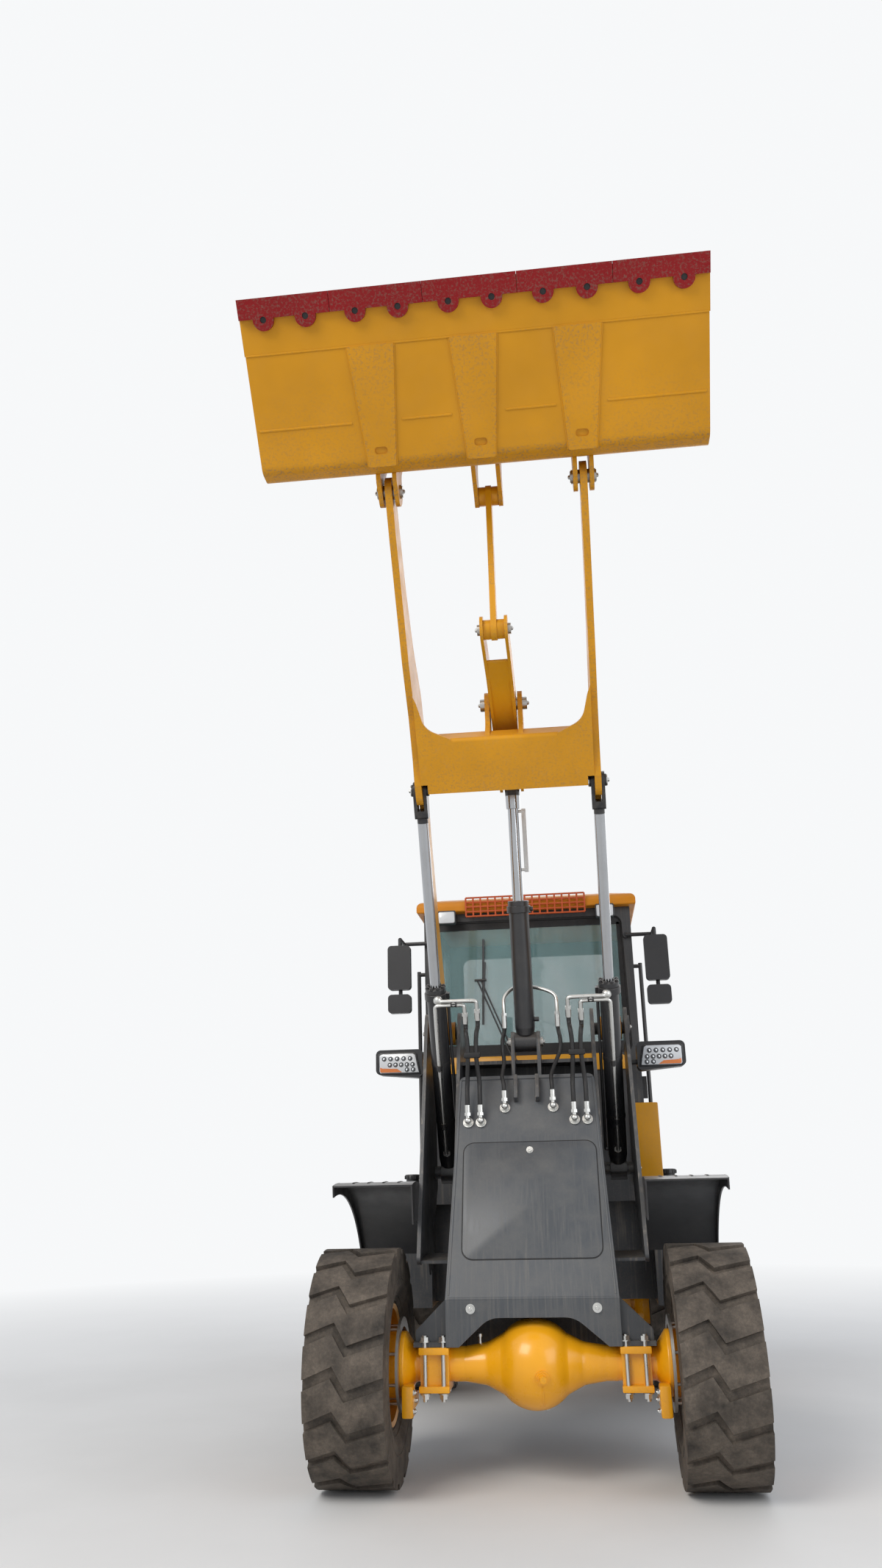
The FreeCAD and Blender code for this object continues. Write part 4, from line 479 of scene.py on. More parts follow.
def seen_ray(tree):
    """1 for rays from the camera, from gloss and through glass."""
    path = tree.nodes.new("ShaderNodeLightPath")
    total = path.outputs["Is Camera Ray"]
    for name in ("Is Glossy Ray", "Is Transmission Ray"):
        both = tree.nodes.new("ShaderNodeMath")
        both.operation = "MAXIMUM"
        tree.links.new(total, both.inputs[0])
        tree.links.new(path.outputs[name], both.inputs[1])
        total = both.outputs["Value"]
    return total


def choose(tree, factor, first, second, output):
    """Sends a mix of two shaders to a tree's output."""
    mixer = tree.nodes.new("ShaderNodeMixShader")
    for socket, source in zip(mixer.inputs, (factor, first.outputs[0], second.outputs[0])):
        tree.links.new(source, socket)
    tree.links.new(mixer.outputs[0], tree.nodes[output].inputs["Surface"])


graph = Graph("floor_paint")
graph.feed(Base_Color=graph.mix(graph.ramp(graph.noise(0.6, 5), 0.3, 0.7), (0.74, 0.73, 0.71), (0.80, 0.79, 0.77)))
graph.set(Roughness=0.85)
reach = graph.add("ShaderNodeVectorMath", operation="LENGTH")
graph.link(graph.place, reach.inputs[0])
fade = graph.times(graph.ramp(reach.outputs["Value"], 3.5, 11.0), seen_ray(graph.tree))
glow = graph.add("ShaderNodeEmission")
glow.inputs["Color"].default_value = (*PALE, 1)
choose(graph.tree, fade, graph.shader, glow, "Material Output")
floor_mesh = bpy.data.meshes.new("floor")
floor_mesh.from_pydata([(-60, -60, 0), (60, -60, 0), (60, 60, 0), (-60, 60, 0)], [], [(0, 1, 2, 3)])
floor_mesh.materials.append(graph.material)
add_object("floor", floor_mesh)

sky = bpy.data.worlds.new("studio")
sky.use_nodes = True
bpy.context.scene.world = sky
soft, plain = sky.node_tree.nodes["Background"], sky.node_tree.nodes.new("ShaderNodeBackground")
for shader, colour, strength in ((soft, (0.86, 0.91, 1.0), 0.55), (plain, PALE, 1.0)):
    shader.inputs["Color"].default_value = (*colour, 1)
    shader.inputs["Strength"].default_value = strength
choose(sky.node_tree, seen_ray(sky.node_tree), soft, plain, "World Output")
bpy.context.scene.view_settings.view_transform = "Standard"


# Shape tools

def add_piece(name, shape, material):
    """An object with one material, from a finished bmesh."""
    mesh = bpy.data.meshes.new(name)
    shape.to_mesh(mesh)
    shape.free()
    mesh.materials.append(mats[material])
    return add_object(name, mesh)


class Kit:
    """One mesh of many small shapes that share a material and ride on one body."""

    def __init__(self, name, material, body):
        self.name, self.material, self.body = name, material, body
        self.mesh = bmesh.new()

    def skin(self, first, second):
        """Faces between two closed rings of equal count, or from a ring to a point."""
        for index, corner in enumerate(first):
            after = (index + 1) % len(first)
            if len(second) == 1:
                self.mesh.faces.new((corner, first[after], second[0]))
            else:
                self.mesh.faces.new((corner, first[after], second[after], second[index]))

    def bar(self, start, end, radius, sides=20, far_radius=None):
        """A round bar between two places."""
        start, end = Vector(start), Vector(end)
        run = end - start
        place = Matrix.Translation((start + end) / 2) @ run.to_track_quat("Z", "Y").to_matrix().to_4x4()
        bmesh.ops.create_cone(self.mesh, cap_ends=True, segments=sides, radius1=radius,
                              radius2=radius if far_radius is None else far_radius, depth=run.length, matrix=place)
        return self

    def nut(self, place, normal, across, height):
        """A washer, a hexagon head and the end of its stud."""
        rise = Vector(normal).normalized() * height
        self.bar(place, place + rise * 0.18, across * 0.72, 18)
        self.bar(place + rise * 0.18, place + rise, across * 0.56, 6)
        return self.bar(place + rise, place + rise * 1.3, across * 0.3, 12, across * 0.24)

    def block(self, low, high, bevel):
        """A block between two corners with bevelled edges."""
        place = Matrix.Translation((low + high) / 2) @ Matrix.Diagonal((*(high - low), 1))
        made = bmesh.ops.create_cube(self.mesh, size=1.0, matrix=place)
        edges = list({edge for vert in made["verts"] for edge in vert.link_edges})
        bmesh.ops.bevel(self.mesh, geom=edges, offset=bevel, segments=2, affect="EDGES", profile=0.6)
        return self

    def ribbon(self, points, normals, width, height):
        """A raised strip of small domed section along points, for weld beads and folds."""
        rings = []
        for index, point in enumerate(points):
            run = (points[min(index + 1, len(points) - 1)] - points[max(index - 1, 0)]).normalized()
            out = normals[index] if isinstance(normals, list) else normals
            side = run.cross(out).normalized()
            ring = []
            for angle in (-90, -45, 0, 45, 90):
                swing = math.radians(angle)
                ring.append(self.mesh.verts.new(point + side * math.sin(swing) * width / 2
                                                + out * math.cos(swing) * height))
            rings.append(ring)
        for first, second in zip(rings, rings[1:]):
            for index in range(4):
                self.mesh.faces.new((first[index], first[index + 1], second[index + 1], second[index]))
        return self

    def trail(self, pairs, width, height):
        """A ribbon along pairs of a place and its normal."""
        return self.ribbon([place for place, _ in pairs], [normal for _, normal in pairs], width, height)

    def weld(self, start, end, out, width=0.010, height=0.004):
        """A weld bead with small ripples between two places."""
        count = max(2, int((end - start).length / 0.012))
        out = out.normalized()
        points = [start.lerp(end, index / count) + out * ((index % 2) * 0.0008) for index in range(count + 1)]
        return self.ribbon(points, out, width, height)

    def ball(self, centre, radius):
        bmesh.ops.create_uvsphere(self.mesh, u_segments=20, v_segments=12, radius=radius,
                                  matrix=Matrix.Translation(centre))
        return self

    def slab(self, outline, place, across, along, thick, bevel=0.002):
        """A plate with a rounded rim: an outline in across and along, raised by its thickness."""
        across, along = across.normalized(), along.normalized()
        out = across.cross(along)
        middle = Vector((sum(u for u, _ in outline), sum(v for _, v in outline))) / len(outline)
        rings = []
        for inset, height in ((0, 0), (0, thick - bevel), (bevel * 0.3, thick - bevel * 0.3), (bevel, thick)):
            ring = []
            for corner in outline:
                offset = Vector(corner) - middle
                spot = middle + offset * (1 - inset / max(offset.length, 1e-6))
                ring.append(self.mesh.verts.new(place + across * spot.x + along * spot.y + out * height))
            rings.append(ring)
        for first, second in zip(rings, rings[1:]):
            self.skin(first, second)
        self.mesh.faces.new(rings[-1])
        self.mesh.faces.new(list(reversed(rings[0])))
        return self

    def turned(self, profile, place, axis, sides=40):
        """A lathe shape: (along, radius) places turned about an axis; only the last may be on it."""
        axis = axis.normalized()
        side = axis.orthogonal().normalized()
        over = axis.cross(side)
        rings = []
        for along, radius in profile:
            centre = place + axis * along
            offsets = circle(sides, radius, side, over) if radius else [Vector()]
            rings.append([self.mesh.verts.new(centre + offset) for offset in offsets])
        for first, second in zip(rings, rings[1:]):
            self.skin(first, second)
        return self

    def band(self, place, axis, inner, outer, width, sides=40):
        """A clamp band round an axis."""
        return self.turned([(0, inner), (0, outer), (width, outer), (width, inner)], place, axis, sides)

    def done(self, span=None):
        """Finishes the piece and puts it on its body; with a span (a second body and the two ends of a bend) it
        stays fixed in place on no body.
        """
        bmesh.ops.recalc_face_normals(self.mesh, faces=self.mesh.faces)
        item = add_piece(self.name, self.mesh, self.material)
        item.data.shade_smooth()
        item.data.set_sharp_from_angle(angle=math.radians(38))
        if span:
            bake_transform(item)
        else:
            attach(item, self.body)


def tube_curve(name, points, radius):
    """A round tube along a smooth route."""
    curve = bpy.data.curves.new(name, "CURVE")
    curve.dimensions = "3D"
    spline = curve.splines.new("NURBS")
    spline.points.add(len(points) - 1)
    for point, place in zip(spline.points, points):
        point.co = (*place, 1)
    spline.order_u = 3
    spline.use_endpoint_u = True
    curve.resolution_u = 6
    curve.bevel_depth = radius
    curve.bevel_resolution = 3
    curve.use_fill_caps = True
    return add_object(name, curve)


def pipe(name, points, radius, material, body):
    """A pipe that rides on one body."""
    item = tube_curve(name, points, radius)
    item.data.materials.append(mats[material])
    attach(item, body)


def hose(name, points, radius):
    """A hose from one body to the next, fixed in place on neither body."""
    line = tube_curve(name + "_line", points, radius)
    mesh = bpy.data.meshes.new_from_object(line)
    bpy.data.objects.remove(line)
    mesh.materials.clear()
    mesh.materials.append(mats["hose"])
    mesh.shade_smooth()
    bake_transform(add_object(name, mesh))


def rounded(low_u, low_v, high_u, high_v, radius):
    """The outline of a rectangle with round corners."""
    steps = 6
    outline = []
    corners = ((high_u, low_v, -90), (high_u, high_v, 0), (low_u, high_v, 90), (low_u, low_v, 180))
    for u, v, start in corners:
        centre_u = u - radius if u == high_u else u + radius
        centre_v = v - radius if v == high_v else v + radius
        for step in range(steps + 1):
            angle = math.radians(start + 90 * step / steps)
            outline.append((centre_u + radius * math.cos(angle), centre_v + radius * math.sin(angle)))
    return outline


def softened(points, rounds):
    """A run of points whose inner corners are rounded by the reaches in rounds, 0 for a sharp one."""
    steps = 6
    outline = [points[0]]
    for before, corner, after, reach in zip(points, points[1:], points[2:], rounds):
        if not reach:
            outline.append(corner)
            continue
        before, corner, after = Vector(before), Vector(corner), Vector(after)
        first = corner + (before - corner).normalized() * reach
        last = corner + (after - corner).normalized() * reach
        for step in range(steps + 1):
            share = step / steps
            outline.append(tuple(first * (1 - share) ** 2 + corner * 2 * share * (1 - share) + last * share ** 2))
    return outline + [points[-1]]


# Places read from the CAD faces

trees = {}


def touch(node, start, aim):
    """Where a line first meets a CAD node, and the face's outward normal."""
    if node not in trees:
        mesh = nodes[node].data
        trees[node] = BVHTree.FromPolygons([tuple(vertex.co) for vertex in mesh.vertices],
                                           [tuple(face.vertices) for face in mesh.polygons])
    place, normal, _, _ = trees[node].ray_cast(start, aim.normalized())
    return place, -normal if normal.dot(aim) > 0 else normal


def from_front(node, x, z):
    return touch(node, world(x, -2.0, z), Y)[0]


def from_side(node, sign, y, z):
    return touch(node, world(sign * 1.5, y, z), -X * sign)[0]


def from_top(node, x, y):
    return touch(node, world(x, y, 3.0), -Z)[0]


def on_cover(x, height):
    """A place on the front cover's outer face at a height above the ground."""
    return from_front("front_cover", x, height)


# Bucket: weld beads and the ends of the edge bolts

kit = Kit("bucket_welds", "bucket", "bucket")
for low, high in ((-1.085, -0.62), (-0.375, -0.13), (0.13, 0.375), (0.62, 1.085)):
    kit.weld(on_bucket(low, 0.366, -0.165), on_bucket(high, 0.366, -0.165), BUCKET_DOWN, 0.012, 0.004)
kit.weld(on_bucket(-1.10, 0.716, -0.166), on_bucket(1.10, 0.716, -0.166), BUCKET_DOWN, 0.010, 0.003)
for x in (-ARM_X, 0, ARM_X):
    for sign in SIDES:
        kit.weld(on_bucket(x + sign * 0.114, 0.712, -0.166), on_bucket(x + sign * 0.070, 0.155, -0.166),
                 BUCKET_DOWN, 0.010, 0.005)
kit.done()

EDGE_SEGMENT = 0.442
kit = Kit("edge_bolts", "seal", "bucket")
for index in range(5):
    for share in (0.27, 0.73):
        centre = on_bucket(-1.105 + (index + share) * EDGE_SEGMENT, 0.872, -0.183)
        kit.bar(centre - BUCKET_DOWN * 0.006, centre, 0.0147, 16)
kit.done()

# Front cover: the sheet with its wide arch over the axle stands for the CAD sheet

SLOPE = Vector((0, 0.55, 1.10)).normalized()
COVER_OUT = X.cross(SLOPE)
FOLD = 0.842
SHEET_THICK = 0.0125
APRON = softened([(-0.428, FOLD), (-0.428, 0.628), (-0.365, 0.628), (-0.212, 0.758), (0.205, 0.758), (0.365, 0.628),
                  (0.428, 0.628), (0.428, FOLD)], (0, 0, 0.050, 0.050, 0, 0))
UPPER = softened([(0.428, FOLD), (0.378, 1.945), (-0.378, 1.945), (-0.428, FOLD)], (0.035, 0.035))

sheet = bmesh.new()
for outline, foot_y, rise in ((APRON, -0.1323, 0.0), (UPPER, -0.131, 0.4985)):
    outer, inner = ([sheet.verts.new(world(x, foot_y + (z - FOLD) * rise + depth, z)) for x, z in outline]
                    for depth in (0.0, SHEET_THICK))
    sheet.faces.new(outer)
    sheet.faces.new(inner)
    for index in range(len(outline) - 1):
        sheet.faces.new((outer[index], outer[index + 1], inner[index + 1], inner[index]))
bmesh.ops.remove_doubles(sheet, verts=sheet.verts, dist=0.002)
bmesh.ops.triangulate(sheet, faces=[face for face in sheet.faces if len(face.verts) > 4])
bmesh.ops.recalc_face_normals(sheet, faces=sheet.faces)
cover_sheet = add_piece("cover_sheet", sheet, "cover")
rim = cover_sheet.modifiers.new("rim", "BEVEL")
rim.width, rim.segments, rim.limit_method, rim.angle_limit = 0.002, 2, "ANGLE", math.radians(50)
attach(cover_sheet, FRONT)
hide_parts("front_cover")

base = on_cover(0, 1.02)
Kit("hatch_gap", "seal", FRONT).slab(
    rounded(-0.352, -0.008, 0.368, 0.632, 0.060), base, X, SLOPE, 0.0015, 0.0006).done()
Kit("cover_hatch", "cover", FRONT).slab(
    rounded(-0.346, -0.002, 0.362, 0.626, 0.055), base, X, SLOPE, 0.0045, 0.0015).done()
top = on_cover(0, 1.928)
Kit("cover_lip", "trim", FRONT).bar(top - X * 0.372, top + X * 0.372, 0.007, 12).done()
kit = Kit("cover_welds", "cover", FRONT)
for sign in SIDES:
    kit.weld(on_cover(sign * 0.412, 0.86), on_cover(sign * 0.370, 1.925), COVER_OUT, 0.011, 0.004)
kit.ribbon([on_cover(-0.418 + 0.0418 * step, 0.846) for step in range(21)], COVER_OUT, 0.014, 0.003)
kit.done()
kit = Kit("cover_fixings", "zinc", FRONT)
kit.nut(on_cover(0.009, 1.539) + COVER_OUT * 0.004, COVER_OUT, 0.026, 0.012)
for x in (-0.303, 0.318):
    kit.nut(on_cover(x, 0.80), -Y, 0.032, 0.016)
kit.done()

# Hydraulic fittings on the cover, x and height of each

FITTINGS = ((-0.325, 1.688), (-0.255, 1.688), (-0.122, 1.762), (0.144, 1.760), (0.258, 1.690), (0.328, 1.690))
fitting_tops = []
kit = Kit("cover_fittings", "zinc", FRONT)
for x, height in FITTINGS:
    seat = on_cover(x, height)
    centre = seat + COVER_OUT * 0.030
    kit.bar(seat, seat + COVER_OUT * 0.010, 0.029, 28)
    kit.bar(seat + COVER_OUT * 0.010, seat + COVER_OUT * 0.020, 0.024, 6)
    kit.ball(centre, 0.0185)
    kit.bar(centre, centre + Z * 0.034, 0.012, 16)
    kit.bar(centre + Z * 0.026, centre + Z * 0.042, 0.0185, 6)
    kit.bar(centre + Z * 0.042, centre + Z * 0.082, 0.0162, 20)
    fitting_tops.append(centre + Z * 0.070)
kit.done()

# Lift cylinders: steel pipes, hoses, clips and gland bolts. Routes are x, along and out.

HEAD_PIPE = ((0.478, 1.075, 0.040), (0.470, 1.075, 0.088), (0.430, 1.075, 0.090), (0.300, 1.075, 0.090),
             (0.258, 1.073, 0.090), (0.256, 1.052, 0.090), (0.256, 1.005, 0.090))
BASE_PIPE = ((0.492, 0.150, 0.048), (0.493, 0.150, 0.084), (0.494, 0.185, 0.086), (0.494, 0.600, 0.086),
             (0.494, 1.020, 0.086), (0.491, 1.048, 0.086), (0.455, 1.050, 0.086), (0.365, 1.050, 0.086),
             (0.330, 1.049, 0.086), (0.326, 1.030, 0.086), (0.326, 0.985, 0.086))


def on_side(place, sign, *route):
    """Places of a route on one side of the machine."""
    return [place(sign * x, along, out) for x, along, out in route]


for sign, side in HANDS:
    barrel = f"lift_barrel_{side}"
    inner, outer = (fitting_tops[4], fitting_tops[5]) if sign > 0 else (fitting_tops[1], fitting_tops[0])
    pipe(f"head_pipe_{side}", on_side(on_lift, sign, *HEAD_PIPE), 0.0115, "zinc", barrel)
    pipe(f"base_pipe_{side}", on_side(on_lift, sign, *BASE_PIPE), 0.0115, "zinc", barrel)
    kit = Kit(f"pipe_ends_{side}", "zinc", barrel)
    for x, along, out in (HEAD_PIPE[-1], BASE_PIPE[-1]):
        end = on_lift(sign * x, along, out)
        kit.bar(end + LIFT_UP * 0.016, end, 0.0185, 6)
        kit.bar(end, end - LIFT_UP * 0.045, 0.0160, 20)
    kit.ball(on_lift(sign * 0.476, 1.075, 0.066), 0.027)
    for start, end, radius in (((0.480, 1.075, 0.045), (0.476, 1.075, 0.062), 0.024),
                               ((0.492, 0.150, 0.045), (0.492, 0.150, 0.066), 0.022),
                               ((0.385, 1.062, 0.074), (0.385, 1.062, 0.106), 0.012)):
        kit.bar(*on_side(on_lift, sign, start, end), radius, 6)
    kit.done()
    kit = Kit(f"pipe_clips_{side}", "black", barrel)
    for along in (0.33, 0.68):
        kit.band(on_lift(sign * ARM_X, along - 0.012, 0), LIFT_UP, 0.0545, 0.0568, 0.024)
        kit.bar(*on_side(on_lift, sign, (0.494, along - 0.012, 0.052), (0.494, along - 0.012, 0.098)), 0.010, 8)
        kit.bar(*on_side(on_lift, sign, (0.494, along - 0.014, 0.086), (0.494, along + 0.014, 0.086)), 0.0165, 16)
    kit.bar(*on_side(on_lift, sign, (0.368, 1.062, 0.088), (0.402, 1.062, 0.088)), 0.019, 12)
    kit.done()
    kit = Kit(f"gland_bolts_{side}", "black", barrel)
    top = touch(barrel, on_lift(sign * ARM_X + 0.046, 1.6, 0), -LIFT_UP)[0]
    head = (top - on_lift(sign * ARM_X + 0.046, 0, 0)).length
    for offset in circle(8, 0.048, LIFT_OUT, X, 0.5):
        kit.nut(on_lift(sign * ARM_X, head, 0) + offset, LIFT_UP, 0.020, 0.010)
    kit.done()
    inner_end, outer_end = on_side(on_lift, sign, (0.256, 0.970, 0.090), (0.326, 0.950, 0.086))
    for number, (start, end, x) in enumerate(((inner, inner_end, 0.262), (outer, outer_end, 0.322))):
        waist = world(sign * (0.268 + 0.046 * number), 0.258, 2.055)
        hose(f"lift_hose_{side}_{number}", [
            start, start + Z * 0.07, world(start.x, 0.292, 1.90), waist - Z * 0.03, waist + Z * 0.06,
            world(sign * x, 0.252, 2.18), end - LIFT_UP * 0.05, end], 0.0125)
    kit = Kit(f"hose_strap_{side}", "seal", FRONT)
    kit.block(world(sign * 0.291 - 0.046, 0.240, 2.035), world(sign * 0.291 + 0.046, 0.276, 2.065), 0.008)
    kit.done((barrel, inner, inner_end))

# Tilt cylinder: pipes, hoses and level bar. far is how far out its pipe ends.

for sign, side, number, far in ((-1, "right", 2, 0.118), (1, "left", 3, 0.190)):
    pipe(f"tilt_pipe_{side}", on_side(
        on_tilt, sign, (0.018, 0.300, -0.050), (0.020, 0.305, -0.078), (0.055, 0.310, -0.080),
        (far * 0.80, 0.285, -0.050), (far, 0.255, -0.030), (far, 0.210, 0.000), (far, 0.160, 0.010)),
        0.0105, "zinc", "tilt_barrel")
    kit = Kit(f"tilt_pipe_end_{side}", "zinc", "tilt_barrel")
    kit.bar(*on_side(on_tilt, sign, (far, 0.172, 0.008), (far, 0.156, 0.010)), 0.0175, 6)
    kit.bar(*on_side(on_tilt, sign, (far, 0.156, 0.010), (far, 0.086, 0.020)), 0.0150, 20)
    kit.done()
    start, end = fitting_tops[number], on_tilt(sign * far, 0.100, 0.019)
    middle = world(sign * (far + 0.012), 0.440, 2.130)
    hose(f"tilt_hose_low_{side}", [
        start, start + Z * 0.06, world(sign * 0.137, 0.345, 1.93), world(sign * (far * 0.75 + 0.03), 0.400, 2.02),
        middle - Z * 0.05, middle], 0.0115)
    hose(f"tilt_hose_top_{side}", [middle - Z * 0.012, middle + Z * 0.02, end - TILT_UP * 0.03, end],
         0.0115)
kit = Kit("level_bar", "indicator", "tilt_rod")
kit.slab(rounded(-0.013, 0, 0.013, 0.375, 0.005), on_tilt(0.060, 0.985, -0.004), X, TILT_UP, 0.010, 0.002)
for along in (1.0, 1.345):
    kit.bar(on_tilt(0.030, along, 0), on_tilt(0.064, along, 0), 0.009, 12)
kit.done()

# Plates that carry the tilt cylinder down over the cover

kit = Kit("post_feet", "charcoal", FRONT)
for x in (-0.070, 0.050):
    kit.slab([(0, 0), (0.020, 0), (0.020, 0.145), (0, 0.145)], on_cover(x, 1.795), X, SLOPE, 0.052, 0.002)
kit.done()
kit = Kit("post_welds", "charcoal", FRONT)
for x in (-0.070, -0.050, 0.050, 0.070):
    kit.weld(on_cover(x, 1.80), on_cover(x, 1.92), COVER_OUT, 0.010, 0.004)
kit.done()


# Pins: caps, bolts and grease nipples

def pin_set(name, material, node, centre, reach, cap, thick=0.004, across=0.020, height=0.009):
    """A cap and a bolt on both ends of a cross pin, found by lines from a reach away."""
    kit = Kit(name, material, node)
    for end in SIDES:
        out = X * end
        face = touch(node, centre + out * reach, -out)[0] + out * thick
        kit.bar(face - out * thick, face, cap, 28)
        kit.nut(face, out, across, height)
    kit.done()


for sign, side in HANDS:
    pin_set(f"bucket_pin_bolts_{side}", "steel", "bucket_pins", world(sign * ARM_X, *BUCKET_PIN), 0.35, 0.030)
    pin_set(f"lift_pin_bolts_{side}", "zinc", f"lift_rod_{side}", world(sign * ARM_X, -0.221, 3.464), 0.30, 0.032,
            0.005, 0.022, 0.010)
    kit = Kit(f"tower_pin_bolts_{side}", "steel", FRONT)
    for pin in (BOOM_PIVOT, LIFT_BASE):
        place = from_side("front_tower", sign, *pin)
        kit.nut(place + Y * 0.034, X * sign, 0.020, 0.010)
        kit.nut(place - Y * 0.034, X * sign, 0.020, 0.010)
        kit.bar(place, place + X * sign * 0.014, 0.007, 12, 0.005)
    kit.done()
joint_places = {item["name"]: item.get("pos_m") for item in frame["record"]["behaviour"]["joints"]}
for name, node, cap in (("crank", "bellcrank_pin", 0.034), ("link", "link_pin", 0.028), ("tilt", "tilt_pin", 0.030)):
    pin_set(f"{name}_pin_bolts", "steel", node, Vector(joint_places[f"{node}_turn"]), 1.2, cap)

# Boom: weld beads round the cross member

kit = Kit("boom_welds", "boom", "boom")
for sign in SIDES:
    beads = []
    for step in range(13):
        low = on_boom(0, 1.02 + 0.03 * step, 0)
        beads.append(touch("boom", Vector((sign * 0.474, low.y - 1.2, low.z)), Y))
    beads = [bead for bead in beads if abs(bead[0].y - beads[0][0].y) < 0.35]
    kit.trail(beads, 0.012, 0.004)
kit.done()

# Axle: flanges, studs, nuts, round bowl, plug, breather and brakes

BOWL_RADIUS, BOWL_HALF = 0.2068, 0.400
flanges = Kit("axle_flanges", "axle", FRONT)
studs = Kit("axle_studs", "zinc", FRONT)
for sign in SIDES:
    inner, outer = sorted((sign * 0.415, sign * 0.565))
    flanges.block(world(inner, -0.130, 0.594), world(outer, -0.090, 0.627), 0.006)
    flanges.block(world(inner, -0.130, 0.426), world(outer, -0.090, 0.456), 0.006)
    for x in (sign * 0.445, sign * 0.535):
        studs.bar(world(x, -0.111, 0.388), world(x, -0.111, 0.680), 0.0115, 20)
        studs.nut(world(x, -0.111, 0.651), Z, 0.036, 0.022)
        studs.nut(world(x, -0.111, 0.4255), -Z, 0.036, 0.026)
        for y in (-0.070, 0.070):
            studs.nut(world(x, y, 0.651), Z, 0.034, 0.020)
            studs.nut(world(x, y, 0.4255), -Z, 0.034, 0.020)
bowl_centre = world(0, 0, AXLE_HEIGHT)
profile = []
for step in range(-48, 49):
    x = BOWL_HALF * step / 48
    if abs(x) < 0.150:
        radius = math.sqrt(BOWL_RADIUS ** 2 - x * x)
    else:
        ease = min(1.0, (abs(x) - 0.150) / 0.190)
        radius = 0.1424 * (1 - ease) ** 2.2 + 0.0795 * (1 - (1 - ease) ** 2.2)
    profile.append((x, radius))
Kit("axle_bowl", "axle", FRONT).turned(profile, bowl_centre, X, 72).done()


def on_bowl(x, height):
    """A place on the front of the round bowl, and the way out of it."""
    drop = height - bowl_centre.z
    place = Vector((x, bowl_centre.y - math.sqrt(BOWL_RADIUS ** 2 - x * x - drop * drop), height))
    return place, (place - bowl_centre).normalized()


flanges.trail([on_bowl(0.038, 0.465 - 0.012 * step) for step in range(9)], 0.008, 0.003)
plug, out = on_bowl(0.038, 0.503)
for low, high, radius, sides in ((-0.004, 0.007, 0.034, 32), (0.007, 0.013, 0.026, 32), (0.013, 0.030, 0.018, 6)):
    flanges.bar(plug + out * low, plug + out * high, radius, sides)
drain = touch("front_axle", world(0.048, -0.01, 0.0), Z)[0]
studs.bar(drain, drain - Z * 0.012, 0.014, 6)
breather = touch("front_axle", world(-0.27, 0.0, 1.0), -Z)[0]
studs.bar(breather, breather + Z * 0.030, 0.008, 12)
studs.bar(breather + Z * 0.030, breather + Z * 0.044, 0.013, 16)
for sign in SIDES:
    inner, outer = sorted((sign * 0.585, sign * 0.640))
    flanges.block(world(inner, -0.205, 0.330), world(outer, -0.105, 0.470), 0.012)
    flanges.block(world(inner, -0.105, 0.360), world(outer, 0.020, 0.420), 0.008)
    for y, z in ((-0.180, 0.440), (-0.180, 0.360), (-0.130, 0.400)):
        studs.nut(world(sign * 0.585, y, z), -X * sign, 0.020, 0.012)
flanges.done()
studs.done()

# Wheels: nuts, caps, valves, sidewall rings and brake discs

for end, wheel_y in (("front", 0.0), ("rear", WHEELBASE)):
    for sign, side in HANDS:
        body, out = f"wheel_{end}_{side}", X * sign
        rim_node, tyre_node = f"rim_{end}_{side}", f"tyre_{end}_{side}"
        hub = world(sign * WHEEL_X, wheel_y, AXLE_HEIGHT)
        kit = Kit(f"wheel_nuts_{end}_{side}", "zinc", body)
        for offset in circle(10, 0.135, Y, Z):
            kit.nut(touch(rim_node, hub + offset + out * 0.5, -out)[0], out, 0.030, 0.024)
        kit.done()
        kit = Kit(f"hub_cap_{end}_{side}", "rim", body)
        seat = touch(rim_node, hub + out * 0.5, -out)[0]
        kit.turned([(0, 0.072), (0.010, 0.072), (0.016, 0.066), (0.022, 0.040), (0.024, 0)], seat, out)
        kit.bar(seat + out * 0.023, seat + out * 0.034, 0.020, 6)
        kit.done()
        kit = Kit(f"valve_{end}_{side}", "steel", body)
        seat = touch(rim_node, hub + Y * 0.225 + Z * 0.05 + out * 0.5, -out)[0]
        kit.bar(seat, seat + out * 0.030, 0.005, 10)
        kit.bar(seat + out * 0.030, seat + out * 0.044, 0.0075, 12)
        kit.done()
        kit = Kit(f"sidewall_rings_{end}_{side}", "tyre", body)
        for face in SIDES:
            for radius in (0.292, 0.318, 0.395):
                ring = [touch(tyre_node, hub + offset + X * face * 0.6, -X * face)
                        for offset in circle(72, radius, Y, Z)]
                kit.trail(ring + ring[:1], 0.009, 0.0035)
        kit.done()
        if end == "front":
            kit = Kit(f"brake_disc_{side}", "steel", body)
            kit.turned([(0, 0.170), (0, 0.215), (0.014, 0.215), (0.014, 0.170), (0, 0.170)],
                       world(sign * 0.655, wheel_y, AXLE_HEIGHT), out, 64)
            for offset in circle(8, 0.178, Y, Z, 0.5):
                kit.bar(world(sign * 0.662, wheel_y, AXLE_HEIGHT) + offset,
                        world(sign * 0.740, wheel_y, AXLE_HEIGHT) + offset, 0.008, 10)
            kit.done()

# Fenders: pressed ribs and rolled edges

FENDER_BACK, EDGE_X, EDGE_RADIUS = 0.10, 1.012, 0.853


def fan(start, sweep, steps):
    """Directions from start over a sweep, in degrees above straight back."""
    for step in range(steps + 1):
        angle = math.radians(start + sweep * step / steps)
        yield Y * math.cos(angle) + Z * math.sin(angle)


